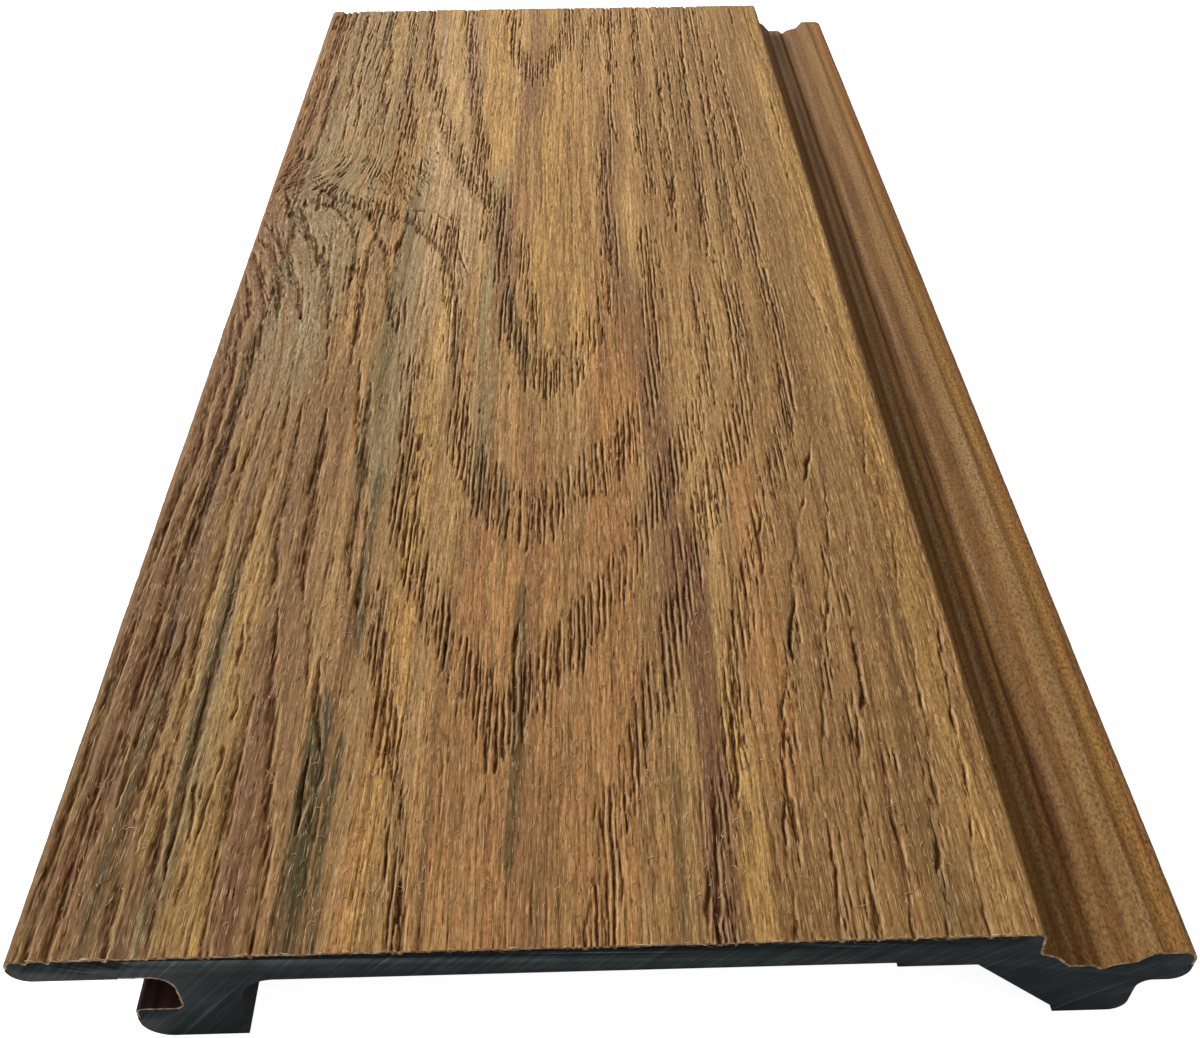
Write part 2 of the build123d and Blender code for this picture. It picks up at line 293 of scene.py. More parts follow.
# Single grooves: half-width, depth and places
GROOVES = [
    # left edge, far part
    (0.75, 0.5, [(3.8, 330), (3.6, 300), (4.0, 280), (3.4, 262), (4.0, 244), (3.4, 232), (4.8, 225),
        (2.8, 216), (1.6, 206)]),
    (0.45, 0.35, [(1.6, 330), (1.4, 290), (1.8, 262), (1.2, 240)]),
    (0.5, 0.4, [(5.6, 222), (4.4, 212), (4.6, 200), (6.5, 192)]),
    (0.75, 0.5, [(7.4, 330), (7, 304), (7, 288), (7.6, 274), (7.2, 258), (8.3, 240), (8, 228), (6.8, 217),
        (7, 205), (8.2, 194), (8.8, 184), (8.2, 172), (8.2, 152)]),
    (0.6, 0.45, [(11.2, 324), (11, 300), (12, 288), (11.6, 276), (12.8, 266), (12.6, 252)]),
    (0.5, 0.4, [(13.6, 318), (13.2, 304), (13.6, 290)]),
    (0.5, 0.35, [(15.4, 328), (15.2, 312), (15.8, 298), (15.2, 268), (16.4, 252), (16.8, 240)]),
    (0.6, 0.45, [(18.6, 328), (18.6, 312), (18, 296)]),
    (0.6, 0.45, [(21, 300), (21.6, 286), (21.6, 272), (22.6, 258), (20.6, 246)]),
    (0.55, 0.4, [(24.2, 262), (23.6, 248), (24.2, 236)]),
    (0.55, 0.45, [(33, 250), (32.6, 240), (33, 232)]),
    (0.55, 0.55, [(36, 222), (36.2, 208)]),
    # round the knot
    (0.6, 0.5, [(5.2, 330), (4.8, 246), (5.2, 230), (4, 219), (2.2, 215), (0, 210)]),
    (0.5, 0.45, [(2.1, 330), (2.1, 246), (3.1, 232), (2.3, 219), (0.7, 211)]),
    (0.6, 0.4, [(5.9, 221), (5.3, 213), (5.5, 206), (7.2, 199)]),
    (0.8, 0.55, [(3.6, 206), (7.5, 194), (10.8, 188), (13.8, 181), (15.3, 177), (18.3, 170), (20.2, 160),
        (22.6, 147)]),
    (0.8, 0.6, [(-1, 186), (1, 183), (4.4, 179), (7.2, 170), (9.7, 160), (10.9, 149)]),
    (0.7, 0.55, [(-1, 180), (1.2, 175), (4.4, 168), (6.7, 158), (8.3, 147)]),
    (0.5, 0.65, [(16.9, 207), (21.4, 205), (26, 200), (29.6, 199), (35.3, 195), (40.8, 194), (44.4, 190),
        (46.6, 181), (48.7, 173), (50.4, 166)]),
    (0.55, 0.45, [(0.6, 168), (3, 159), (4.4, 151), (4, 141), (5, 131), (5.6, 118), (6, 96)]),
    (0.55, 0.45, [(1.4, 151), (2.6, 142), (3, 130), (2.6, 116), (3.6, 101), (2.2, 86), (2.2, 64)]),
    (0.75, 0.6, [(24.6, 173), (25, 163)]),
    (0.75, 0.6, [(28, 166), (28, 155), (28.6, 145), (29, 131)]),
    (0.65, 0.55, [(32, 176), (32.6, 168), (33.2, 160)]),
    (0.5, 0.4, [(22.6, 149), (23, 138), (24.8, 126), (26, 116)]),
    (0.5, 0.4, [(31.6, 194), (33.2, 187)]),
    # left-hand strip, middle and near part
    (0.7, 0.5, [(7, 96), (7, 40), (7.1, 29), (7, 22), (5.9, 12), (6, 4), (6, -3)]),
    (0.6, 0.45, [(2.9, 60), (2.7, 30), (2.3, 21), (2.9, 10), (3.2, -3)]),
    (0.7, 0.5, [(11.6, 60), (11.8, 36), (11.8, 26), (11.8, 15), (12.8, 7), (13.9, -3)]),
    (0.6, 0.4, [(14.6, 46), (14.9, 30), (16.3, 17), (18.4, 5), (18.6, -3)]),
    (0.7, 0.5, [(24.6, 44), (24.8, 31), (25.3, 18), (25.3, 7), (25.8, -3)]),
    (0.6, 0.55, [(28.2, 39), (30.6, 23), (31.6, 15), (31.9, -3)]),
    (0.5, 0.35, [(19.4, 36), (19.6, 25), (20.9, 13), (21.3, -3)]),
    (0.8, 0.6, [(8.2, 152), (8, 134), (8.4, 118), (8.4, 104), (8.1, 90), (8.6, 74), (8.8, 58), (9.4, 42),
        (9, 24)]),
    (0.5, 0.4, [(11, 118), (11, 104), (11.2, 90)]),
    (0.55, 0.45, [(14, 116), (13.2, 100), (13.2, 84), (13.8, 68), (13.6, 56), (14.6, 46), (14, 32),
        (13.6, 16)]),
    (0.5, 0.4, [(16.2, 108), (15.6, 92), (16.2, 80)]),
    (0.55, 0.45, [(17.6, 126), (18.6, 112), (19, 100), (18.2, 88), (17.4, 70), (17.6, 52), (17.8, 36),
        (18.2, 12)]),
    (0.6, 0.5, [(21, 118), (21.6, 104), (22.2, 94), (22, 80), (23.8, 70), (23.6, 62)]),
    (0.85, 0.65, [(26.2, 116), (27, 103), (26.6, 94), (28, 84), (28, 74), (29, 64)]),
    (0.6, 0.5, [(5.6, 94), (5.2, 80), (6, 66), (7, 56), (7, 38), (5.2, 24), (5.6, 10), (6, -3)]),
    (0.5, 0.4, [(2.4, 60), (2, 40), (2.4, 14), (2, -3)]),
    (0.45, 0.35, [(11.4, 66), (11.6, 44), (11.2, 20)]),
    (0.5, 0.4, [(20.6, 60), (21.2, 50), (22.6, 41), (22, 28), (21, 14)]),
    (0.65, 0.6, [(25.4, 62), (26, 54), (27, 46), (28.2, 40), (29.2, 33), (29.6, 24)]),
    (0.55, 0.45, [(24.6, 28), (25, 17), (26, 7), (26.6, -3)]),
    # left-centre
    (0.7, 0.55, [(30.6, 132), (31.6, 121), (32.8, 111), (33.4, 102)]),
    (0.75, 0.6, [(33.6, 124), (34.2, 112), (35.2, 101), (35.8, 90), (35.4, 76), (36.4, 66)]),
    (0.7, 0.75, [(36.6, 92), (37.6, 82), (38.2, 72), (38.4, 58)]),
    (0.5, 0.45, [(36, 166), (36, 145)]),
    (0.5, 0.4, [(38, 156), (38.6, 130)]),
    (0.55, 0.5, [(31, 61), (32, 52), (32.6, 44)]),
    (0.6, 0.55, [(34, 51), (34.6, 41), (36.2, 33)]),
    (0.6, 0.55, [(30.8, 24), (32, 14), (32, 8)]),
    (0.6, 0.7, [(34.8, 31), (35.2, 18)]),
    (0.6, 0.7, [(37.2, 31), (36.8, 20)]),
    (0.65, 0.75, [(38.6, 24), (38.4, 10)]),
    (0.55, 0.6, [(37, 14), (38.6, 7), (38.4, -3)]),
    (0.6, 0.55, [(41.2, 61), (41.6, 51)]),
    (0.6, 0.55, [(43.6, 53), (43.6, 44)]),
    (0.55, 0.6, [(44, 43), (45.6, 37), (46.8, 31), (48, 24)]),
    (0.55, 0.6, [(48.2, 25), (49, 18), (50.4, 11), (50.7, -3)]),
    (0.6, 0.6, [(64.6, 58), (64.4, 44), (65, 34)]),
    (0.6, 0.6, [(60.6, 93), (61, 80)]),
    # cracks of the right-hand side
    (0.55, 0.65, [(112, 69), (112.6, 78), (114.6, 85), (116.2, 92), (118, 99.6), (119.6, 106)]),
    (0.4, 0.35, [(117, 65), (117.6, 75), (119, 85), (119.6, 93)]),
    (0.55, 0.6, [(116.2, 70), (115.3, 60), (112.8, 50), (111.8, 42), (110.5, 35), (110.1, 27), (109.1, 18),
        (108.3, 8), (107.5, -3)]),
    (0.5, 0.5, [(108.2, 86), (106.1, 77), (105.5, 69)]),
    (0.45, 0.4, [(104.9, 77), (104.4, 69)]),
    (0.55, 0.6, [(100.7, 68), (99.3, 54), (97.9, 47), (97.4, 36), (97, 26), (96, 16)]),
    (0.5, 0.5, [(101.9, 63), (101.7, 54), (100.9, 46), (100.1, 36)]),
    (0.6, 0.65, [(112.4, 76), (110.7, 69), (109.6, 59), (107.8, 51), (108.2, 46)]),
    (0.6, 0.6, [(106, 42), (104.6, 36), (103.8, 25), (104.3, 19), (104.2, 13)]),
    (0.45, 0.4, [(106.9, 39), (106.1, 28)]),
    (0.5, 0.5, [(103.2, 23), (102.1, 12), (102.4, 6), (101.9, -3)]),
    (0.5, 0.45, [(121.6, 79), (119.9, 68), (119.8, 62)]),
    (0.6, 0.6, [(118.1, 58), (117.9, 50), (118.1, 45), (117.3, 39), (116.1, 36), (115.1, 29), (114.2, 22),
        (113.1, 14), (113, 8), (113.1, -3)]),
    (0.55, 0.55, [(129.8, 79), (127.8, 67), (127.1, 57), (127.4, 51), (126.4, 44), (126, 35), (125.4, 27)]),
    (0.5, 0.5, [(132.2, 53), (132.8, 44)]),
    (0.55, 0.55, [(129.2, 25), (128.8, 18), (127.3, 10), (127.1, 4), (127.2, -3)]),
    (0.55, 0.55, [(123.9, 29), (123.2, 21), (123.6, 15), (122.2, 9), (121.5, -3)]),
    (0.5, 0.45, [(120.1, 30), (119.9, 21)]),
    (0.5, 0.5, [(118.4, 26), (117.8, 19), (118.1, 15), (118, 9), (116.7, -3)]),
    (0.45, 0.45, [(96.4, 31), (96.3, 24), (96.1, 17)]),
    (0.5, 0.5, [(93.3, 26), (93.2, 16), (92.3, 9), (92.1, -3)]),
    (0.45, 0.4, [(91.4, 24), (91.6, 13), (90.3, -3)]),
    (0.4, 0.35, [(121.4, 70), (121.8, 83)]),
    (0.4, 0.35, [(123, 24), (123.6, 34)]),
    (0.4, 0.35, [(124.6, 18), (125, 31)]),
    (0.5, 0.5, [(129.4, 21), (129.6, 26), (130.1, 33), (130.9, 41), (131.2, 47), (132.3, 54), (132.1, 60)]),
    (0.45, 0.4, [(127, 92), (129, 103), (130.2, 111), (131.6, 119)]),
    (0.4, 0.35, [(128.4, 64), (130, 76)]),
    (0.4, 0.35, [(131.6, 79), (132, 96)]),
    (0.4, 0.35, [(125.4, 162), (127, 150), (127.8, 134)]),
    (0.35, 0.3, [(122, 156), (124, 144)]),
    (0.45, 0.4, [(129.4, 256), (129.6, 240), (129, 224), (128.4, 204)]),
    (0.4, 0.35, [(129, 326), (129.6, 300), (130, 290), (131.4, 276)]),
    (0.35, 0.3, [(125, 326), (124.6, 304), (126.4, 288)]),
    (0.55, 0.5, [(110.6, 330), (110.8, 290), (110.6, 262), (110.6, 232), (110.2, 196), (109, 172)]),
    (0.5, 0.5, [(96.6, 262), (96.8, 240), (97.4, 222), (98, 202)]),
    (0.45, 0.4, [(117.8, 258), (118.2, 240), (117.6, 226), (117, 212)]),
    (0.5, 0.45, [(94, 174), (94.2, 162)]),
    (0.55, 0.55, [(87.6, 326), (85.7, 271), (85, 248), (86.7, 227)]),
    (0.5, 0.5, [(94.6, 326), (92.5, 269)]),
    (0.5, 0.5, [(99.3, 266), (99.9, 243), (99.9, 215), (98.9, 187), (98.6, 171)]),
    (0.55, 0.55, [(109, 326), (107, 270), (106.7, 235), (106, 204), (105.5, 186)]),
    (0.5, 0.5, [(113.9, 326), (112.6, 261), (112.4, 226), (112.5, 200), (112.8, 170)]),
    (0.5, 0.5, [(117.6, 295), (117.7, 263), (117.7, 234), (117, 218)]),
    (0.45, 0.4, [(43.7, 315), (46.2, 278), (47.3, 247)]),
    (0.45, 0.45, [(45.8, 225), (52.2, 202), (57.3, 178)]),
    (0.5, 0.45, [(80.7, 223), (82.8, 201), (83.6, 171)]),
]

# Lines round the knot that are both: a band's half-width and strength, a groove's
# half-width and depth, and the groove's places, with the band a little further along
BAND_AHEAD = 2
KNOT_LINES = [
    (1.1, 0.8, 0.7, 0.65, [(9.8, 211), (13.7, 206), (17.7, 201), (19.9, 200), (23.7, 197), (27.1, 190),
        (29.3, 182), (32.7, 174), (33, 164), (32.9, 160)]),
    (1.2, 0.8, 0.7, 0.55, [(25.9, 198), (29.4, 194), (32.9, 192), (37.2, 188), (41.7, 181), (44.9, 174),
        (47.4, 164), (49.2, 154)]),
    (1.1, 0.8, 0.6, 0.5, [(10.4, 200), (16.1, 198), (19.1, 195), (23.1, 185), (24.8, 176), (24.9, 165),
        (24.5, 160)]),
    (1.0, 0.8, 0.6, 0.5, [(28.2, 186), (27.8, 178), (27.7, 167), (27.6, 157), (27.4, 149)]),
    (1.2, 0.8, 0.8, 0.6, [(34.8, 185), (34.2, 178), (34.3, 164), (34.8, 153), (36.3, 144)]),
    (0.9, 0.7, 0.8, 0.6, [(1.7, 189), (4.7, 185), (8.4, 176), (11.5, 167), (14.1, 158), (16.4, 147)]),
]
BANDS += [(half, strength, [(x, y + BAND_AHEAD) for x, y in places])
          for half, strength, _, _, places in KNOT_LINES]
GROOVES += [(half, cut, places) for _, _, half, cut, places in KNOT_LINES]


def slits(across, y, pitch, seed, level_at, thin, wide):
    """Depth from 0 to 1 of rows of long narrow pores that open where level_at is high."""
    rng = np.random.default_rng(seed)
    row = across / pitch
    number = np.floor(row).astype(np.int32) + 60
    shift = rng.uniform(-0.2, 0.2, 500)[number]
    half = rng.uniform(thin, wide, 500)[number] / pitch
    phase = rng.uniform(0, 60, 500)[number]
    along = value_noise(seed + 1, number * 5.0, y + phase * 9, 5.0, 7.5)
    fine_along = value_noise(seed + 2, number * 5.0, y + phase * 5, 5.0, 1.4)
    sway = value_noise(seed + 3, number * 5.0, y + phase * 3, 5.0, 3.2)
    torn = value_noise(seed + 4, across, y, 0.3, 0.9)
    level = level_at + 0.52 * along + 0.14 * fine_along - 0.36
    opening = smooth(0.0, 0.6, level)
    off = np.abs(row - np.floor(row) - 0.5 - shift - 0.13 * sway)
    width = half * (0.25 + 0.85 * opening) * (1 + 0.4 * fine_along + 0.3 * torn)
    return opening ** 0.8 * (1 - smooth(0.3, 1.3, off / width))


def creases(seed, x, y, cell_x, cell_y, power):
    """Thin irregular lines along the grain, 1 at their bottom."""
    return (1 - np.abs(value_noise(seed, x, y, cell_x, cell_y))) ** power


def crowding(x, y):
    """How much the pores crowd, from 0 to 1, in the bands that follow the growth rings."""
    band = np.zeros_like(x)
    jagged = x + 0.6 * value_noise(3, x, y, 1.4, 6)
    for half, strength, places in BANDS:
        d = distance(places, jagged, y + 1.2, 0.28, half * 1.9)
        band = np.maximum(band, strength * (1 - smooth(0.3 * half, 1.85 * half, d)))
    return band * (0.84 + 0.24 * value_noise(4, x, y, 4, 12))


def with_grooves(depth, dark, across, x, y):
    """Depth and darkness with the single grooves added, furrows on the left and cracks elsewhere; the
    furrows' darkness is partly their pores' own colour and partly painted shade.
    """
    ragged = x + 0.26 * value_noise(11, x, y, 1.1, 2.6) + 0.16 * value_noise(13, x, y, 0.5, 1.2)
    beads = 0.68 + 0.6 * value_noise(12, x, y, 2.4, 4.0)
    soft_beads = 0.85 + 0.3 * value_noise(14, x, y, 2.4, 9)
    stitches = slits(across, y, 0.9, 307, 0.95, 0.16, 0.3)
    open_parts = 0.4 + 0.6 * smooth(-0.4, 0.2, value_noise(15, x, y, 1.6, 6.0))
    for half, cut, places in GROOVES:
        furrow = places[0][0] < FURROWS_END and half > 0.5
        half = half * (1.5 if furrow else 0.7)
        d = distance(places, ragged, y, 0.8, half * 1.6, 10.0 if furrow else 4.0)
        if furrow:
            groove = 1 - smooth(0.0, 1.5, d / half)
            # The furrow's darkness is partly its pores' own colour and partly painted shade in the furrow
            dark = np.maximum(dark, groove * soft_beads * (0.4 + 0.5 * stitches))
            depth = np.maximum(depth, cut * groove * soft_beads * (1.05 + 0.4 * stitches))
        else:
            width = half * np.clip(beads + 0.12, 0.3, 1.2)
            groove = open_parts * (1 - smooth(0.25, 1.25, d / width))
            dark = np.maximum(dark, 0.9 * groove * np.clip(beads + 0.1, 0, 1))
            depth = np.maximum(depth, cut * 1.1 * groove * np.clip(beads, 0.3, 1.1))
    return depth, dark


def with_skin(depth, across, x, y):
    """Depth with torn threads, crinkled skin on the left and the slow swell of the rings added."""
    crinkle = 1 - smooth(20, 36, x)
    ripple = crinkle * smooth(110, 140, y) * (1 - smooth(196, 212, y))
    depth = depth + 0.15 * creases(22, across, y, 0.85, 16, 3) + 0.08 * creases(24, across, y, 0.45, 5, 3)
    depth = depth + 0.07 * crinkle * creases(21, across, y, 0.7, 1.4, 2)
    depth = depth + 0.13 * crinkle * creases(26, across, y, 1.3, 30, 2)
    depth = depth + 0.2 * ripple * creases(25, x, y + 0.5 * x, 2.2, 0.95, 2)
    return depth + 0.10 * (0.5 + 0.5 * value_noise(23, across, y, 2.6, 30))


def relief(x, y):
    """The embossed grain as five arrays.

    They are its depth in millimetres below the crests, its darkness, which is the pores' and
    grooves' own colour with painted shade that deepens with depth, the bands where pores crowd,
    the place across the board that each line of the grain comes from, and the pores' paler
    rims on the walls that face the key lamp, partly torn fibres and partly a painted highlight.
    """
    # The grain runs round the knot on the left
    rise = smooth(122, 200, y) * (1 - smooth(203, 226, y))
    flow = x + 13 * rise * np.exp(-(np.maximum(x, 0) / 17) ** 2)
    wander = 0.55 * value_noise(1, x, y, 6, 34) + 0.16 * value_noise(2, x, y, 2.2, 9)
    across = flow + wander

    # Pores in rows along the grain, crowded in the bands, and the single grooves
    band = crowding(x, y)
    deep = slits(across, y, 1.1, 7, band, 0.13, 0.26)
    thin = slits(across + 0.4, y, 0.75, 107, band - 0.12, 0.08, 0.16)
    depth = np.maximum(0.46 * deep, 0.32 * thin)
    dark = np.maximum(deep, 0.75 * thin)
    depth, dark = with_grooves(depth, dark, across, x, y)

    # Finer pores everywhere, fewer on the plain parts
    plain = 0.3 * smooth(118, 121, x) * (1 - smooth(127, 130, x))
    fine = slits(across, y, 0.7, 207, 0.34 - plain, 0.07, 0.14)
    depth = np.maximum(depth, 0.22 * fine)
    dark = np.maximum(dark, 0.55 * fine)
    depth = with_skin(depth, across, x, y)
    burl(depth, dark, x, y)
    # Painted shade: the deeper a place lies in the relief, the darker it is coloured
    dark = np.maximum(dark, 0.55 * smooth(0.25, 0.9, depth))

    # One wall of each pore, the one that faces the key lamp, is torn to a paler rim that stands
    # up a little; the paler colour is partly torn fibre and partly a painted highlight of the
    # lit wall, and that wall's darkness is lightened as a painted highlight too
    lit_wall = smooth(0.3, 1.3, -np.gradient(depth, axis=0) / FACE_STEP)
    crest = np.roll(lit_wall, 1, axis=0)
    depth = depth - 0.04 * crest
    dark = dark * (1 - 0.3 * lit_wall)
    return depth, dark, band, across, np.maximum(0.4 * lit_wall, 0.7 * crest)


def burl(depth, dark, x, y):
    """Short slanting pores round the knot, cut into depth and darkened."""
    rng = np.random.default_rng(31)
    for _ in range(1500):
        cx = rng.uniform(6, 41)
        cy = rng.uniform(197, 285)
        if ((cx - 24) / 18) ** 2 + ((cy - 236) / 50) ** 2 > 1 or cy < 216 - 0.47 * cx:
            continue
        lean = 0.5 * (cx - 18) / 20 * (1 - smooth(208, 236, cy)) + rng.uniform(-0.12, 0.12)
        size = rng.uniform(0.6, 1.7)
        half = rng.uniform(0.16, 0.3)
        ends = [(cx - lean * size, cy + size), (cx + lean * size, cy - size)]
        reach = half * 1.6
        left, right = sorted((ends[0][0], ends[1][0]))
        i = (x[:, 0] > left - reach) & (x[:, 0] < right + reach)
        j = (y[0] > ends[1][1] - reach) & (y[0] < ends[0][1] + reach)
        if not i.any() or not j.any():
            continue
        window = np.ix_(i, j)
        d = distance(ends, x[window], y[window], 1.0, reach)
        pit = 1 - smooth(0.3, 1.3, d / half)
        depth[window] = np.maximum(depth[window], rng.uniform(0.3, 0.55) * pit)
        dark[window] = np.maximum(dark[window], 0.8 * pit)


# Colour streaks of the cap: kind, half-width, strength and places
STREAKS = [
    ("green", 1.7, 0.9, [(35.9, 33), (36.5, 17), (37, -4)]),
    ("green", 0.7, 0.9, [(38.9, 30), (39, 16), (39.9, -4)]),
    ("green", 0.8, 0.6, [(9.2, 60), (9.3, 43), (10, 30), (9.9, 18), (10.6, 5)]),
    ("grey", 2.0, 0.6, [(17, 60), (17.2, 40), (19.5, 27), (19, 19), (17.8, 6)]),
    ("ochre", 1.6, 0.6, [(21, 60), (21.5, 37), (22.1, 22), (23.3, 9), (24.5, -2)]),
    ("purple", 2.0, 0.5, [(26, 50), (26.6, 32), (27.6, 20), (28.2, 9), (28.6, -4)]),
    ("red", 1.8, 0.6, [(6, 60), (6, 38), (6.6, 28), (5, 22), (5.3, 12), (6.6, -4)]),
    ("dull", 13.0, 0.85, [(8, 150), (8, -4)]),
    ("dull", 8.0, 0.35, [(43, 110), (42, -4)]),
    ("dull", 18.0, 0.3, [(116, 330), (116, 262)]),
    ("dull", 8.0, 0.35, [(26, 330), (26, 268)]),
    ("dull", 12.0, 0.25, [(112, 90), (110, -4)]),
    ("green", 1.3, 0.4, [(121.4, 18), (123.7, 3)]),
    ("green", 1.0, 0.3, [(124.6, 61), (123.8, 44), (122.4, 31)]),
    ("pale", 9.0, 0.6, [(42, 262), (44, 176)]),
    ("pale", 9.0, 0.35, [(10, 250), (12, 164)]),
    ("dull", 6.0, 0.6, [(27, 100), (28, -4)]),
    ("red", 16.0, 0.2, [(68, 45), (68, -4)]),
    ("red", 16.0, 0.15, [(112, 40), (112, -4)]),
    ("green", 1.6, 0.3, [(17.5, 45), (19, 25), (18, 6)]),
    ("purple", 1.2, 0.8, [(95, 70), (94, 40), (95, -4)]),
    ("ochre", 1.6, 0.35, [(13, 110), (14, 60), (15, 20)]),
    ("ochre", 2.4, 0.5, [(46, 150), (46, 60), (45, -4)]),
    ("ochre", 2.4, 0.5, [(68, 330), (68, 150)]),
    ("orange", 2.0, 0.6, [(46, 60), (44, -4)]),
    ("purple", 1.4, 0.35, [(66, 110), (67, 40), (68, -4)]),
    ("green", 1.2, 0.8, [(38.2, 92), (38.4, 60)]),
    ("green", 2.0, 0.42, [(36, 196), (36, 170), (35.6, 140), (35, 105)]),
    ("green", 0.8, 0.8, [(60.6, 96), (61, 78)]),
    ("green", 0.8, 0.75, [(60.5, 156), (62.6, 144), (64.6, 130)]),
    ("green", 0.9, 0.7, [(64.4, 60), (65, 32), (64, 14)]),
    ("green", 1.1, 0.35, [(110.6, 330), (110.4, 250), (110.2, 190)]),
    ("green", 1.2, 0.4, [(8.6, 330), (8.4, 240), (8.4, 120), (9.4, 30)]),
    ("green", 1.2, 0.6, [(18.6, 330), (18.6, 300)]),
    ("green", 1.2, 0.6, [(88, 24), (88.4, -4)]),
    ("green", 0.8, 0.5, [(17.6, 66), (17.8, 30), (18.4, 6)]),
    ("grey", 3.4, 0.55, [(37, 210), (37, 160), (37.4, 104)]),
    ("grey", 4.0, 0.4, [(18, 196), (18, 140)]),
    ("grey", 10.0, 0.5, [(18, 330), (18, 200)]),
    ("dull", 8.0, 0.2, [(4, 330), (4, 120)]),
    ("grey", 3.0, 0.5, [(8.5, 260), (8, 200)]),
    ("grey", 2.6, 0.5, [(56, 200), (56, 96)]),
    ("purple", 3.0, 0.6, [(84, 232), (83.4, 196), (85, 160), (88.6, 132), (89.6, 96), (89, 60)]),
    ("purple", 2.6, 0.8, [(92, 66), (92.6, 30), (93, -4)]),
    ("purple", 2.4, 0.6, [(58.5, 196), (59, 156)]),
    ("purple", 2.6, 0.4, [(46, 318), (47, 268)]),
    ("purple", 4.0, 0.45, [(66, 300), (65, 268)]),
    ("orange", 5.0, 0.4, [(80.5, 132), (80, 96), (78, 30), (76, -4)]),
    ("orange", 9.0, 0.4, [(62, 54), (60, -4)]),
    ("orange", 3.0, 0.5, [(84, 140), (84, 110)]),
    ("orange", 3.0, 0.5, [(106, 90), (104, 40)]),
    ("ochre", 3.4, 0.6, [(52, 330), (53, 262), (57, 236)]),
    ("ochre", 3.0, 0.45, [(22, 330), (22.4, 284)]),
    ("ochre", 3.0, 0.35, [(39.6, 322), (41.6, 270), (45, 238)]),
    ("ochre", 2.6, 0.35, [(130.4, 326), (130.4, 200), (130, 20)]),
    ("ochre", 2.6, 0.6, [(98, 38), (98, 20), (98, -4)]),
    ("ochre", 3.4, 0.35, [(22, 60), (22, -4)]),
    ("ochre", 6.0, 0.35, [(72, 250), (72, 150)]),
    ("red", 3.8, 0.6, [(3.4, 330), (3.6, 230), (1.6, 206)]),
    ("red", 3.0, 0.4, [(27, 116), (28, 60), (28, 10)]),
    ("red", 6.0, 0.3, [(4, 200), (6, 66)]),
    ("dull", 5.5, 0.3, [(123.4, 330), (123.4, 120), (122, 60), (123, -4)]),
    # the recess and the tongue
    ("dull", 6.0, 0.3, [(147, 330), (147, 200)]),
    ("green", 0.9, 0.5, [(146.8, 240), (147.2, 150), (147, 110)]),
    ("ochre", 1.8, 0.3, [(153.4, 160), (153.4, -4)]),
]

# Straight streaks over the whole length: kind, half-width, strength and place across.
# The shade streaks at 136.4 and 138.2 are painted shadow of the recess's wall, the one at
# 143.6 is painted shade in the notch and the one at -2.4 is painted shade on the nose; the
# other streaks here are the cap's own colour lines
STRAIGHT_STREAKS = [
    ("shade", 2.0, 0.6, -2.4), ("shade", 3.4, 0.3, 136.4), ("shade", 1.0, 0.9, 143.6),
    ("red", 1.6, 0.4, 141.2), ("red", 1.6, 0.25, 146.4), ("shade", 2.4, 0.45, 146.4),
    ("grey", 0.9, 0.2, 148.8), ("shade", 5.0, 0.25, 153), ("orange", 1.8, 0.9, 155),
    ("shade", 0.5, 0.7, 138.2), ("pale", 0.5, 0.4, 139.8), ("shade", 0.5, 0.65, 140.9),
    ("pale", 0.5, 0.45, 145.3), ("shade", 0.5, 0.65, 147.7), ("pale", 0.5, 0.45, 150.2),
    ("shade", 0.5, 0.65, 151.4), ("ochre", 0.6, 0.5, 152.6), ("shade", 0.5, 0.6, 153.8),
]
STREAKS += [(kind, half, strength, [(x, 330), (x, -4)]) for kind, half, strength, x in STRAIGHT_STREAKS]
STREAK_KINDS = ("dull", "pale", "grey", "orange", "ochre", "red", "purple", "green", "shade")


def streaks(kind, x, y):
    """Strength from 0 to 1 of one kind of colour streak."""
    total = np.zeros_like(x)
    seed = 100 + STREAK_KINDS.index(kind)
    fine = value_noise(seed, x, y, 0.55, 26)
    broad = value_noise(seed + 20, x, y, 1.9, 48)
    wave = x + (0.8 - 0.72 * smooth(133, 136, x)) * value_noise(seed + 40, x, y, 7, 40)
    for name, half, strength, places in STREAKS:
        if name != kind:
            continue
        d = distance(places, wave, y, 0.16, half * 2.0)
        core = 1 - smooth(0.1 * half, 1.9 * half, d)
        torn = core + 0.34 * fine + 0.26 * broad - 0.12
        total = np.maximum(total, strength * smooth(0.15, 0.75, torn))
    return total


# Meshes

def to_world(x, y, z):
    """Millimetres in the tables' axes to metres in the row frame."""
    return np.stack([(x - WIDTH / 2) * MM, (y - LENGTH / 2) * MM, z * MM], axis=-1)


def section_line(q, y):
    """Points of x and z in the section's plane, at one y, in the row frame."""
    return to_world(q[:, 0], np.full(len(q), y), q[:, 1])


def grid_normals(p):
    """Unit normals at the points of a grid whose first axis runs across and second along."""
    du = np.gradient(p, axis=0)
    dv = np.gradient(p, axis=1)
    n = np.cross(du, dv)
    return n / np.maximum(np.linalg.norm(n, axis=-1, keepdims=True), 1e-12)


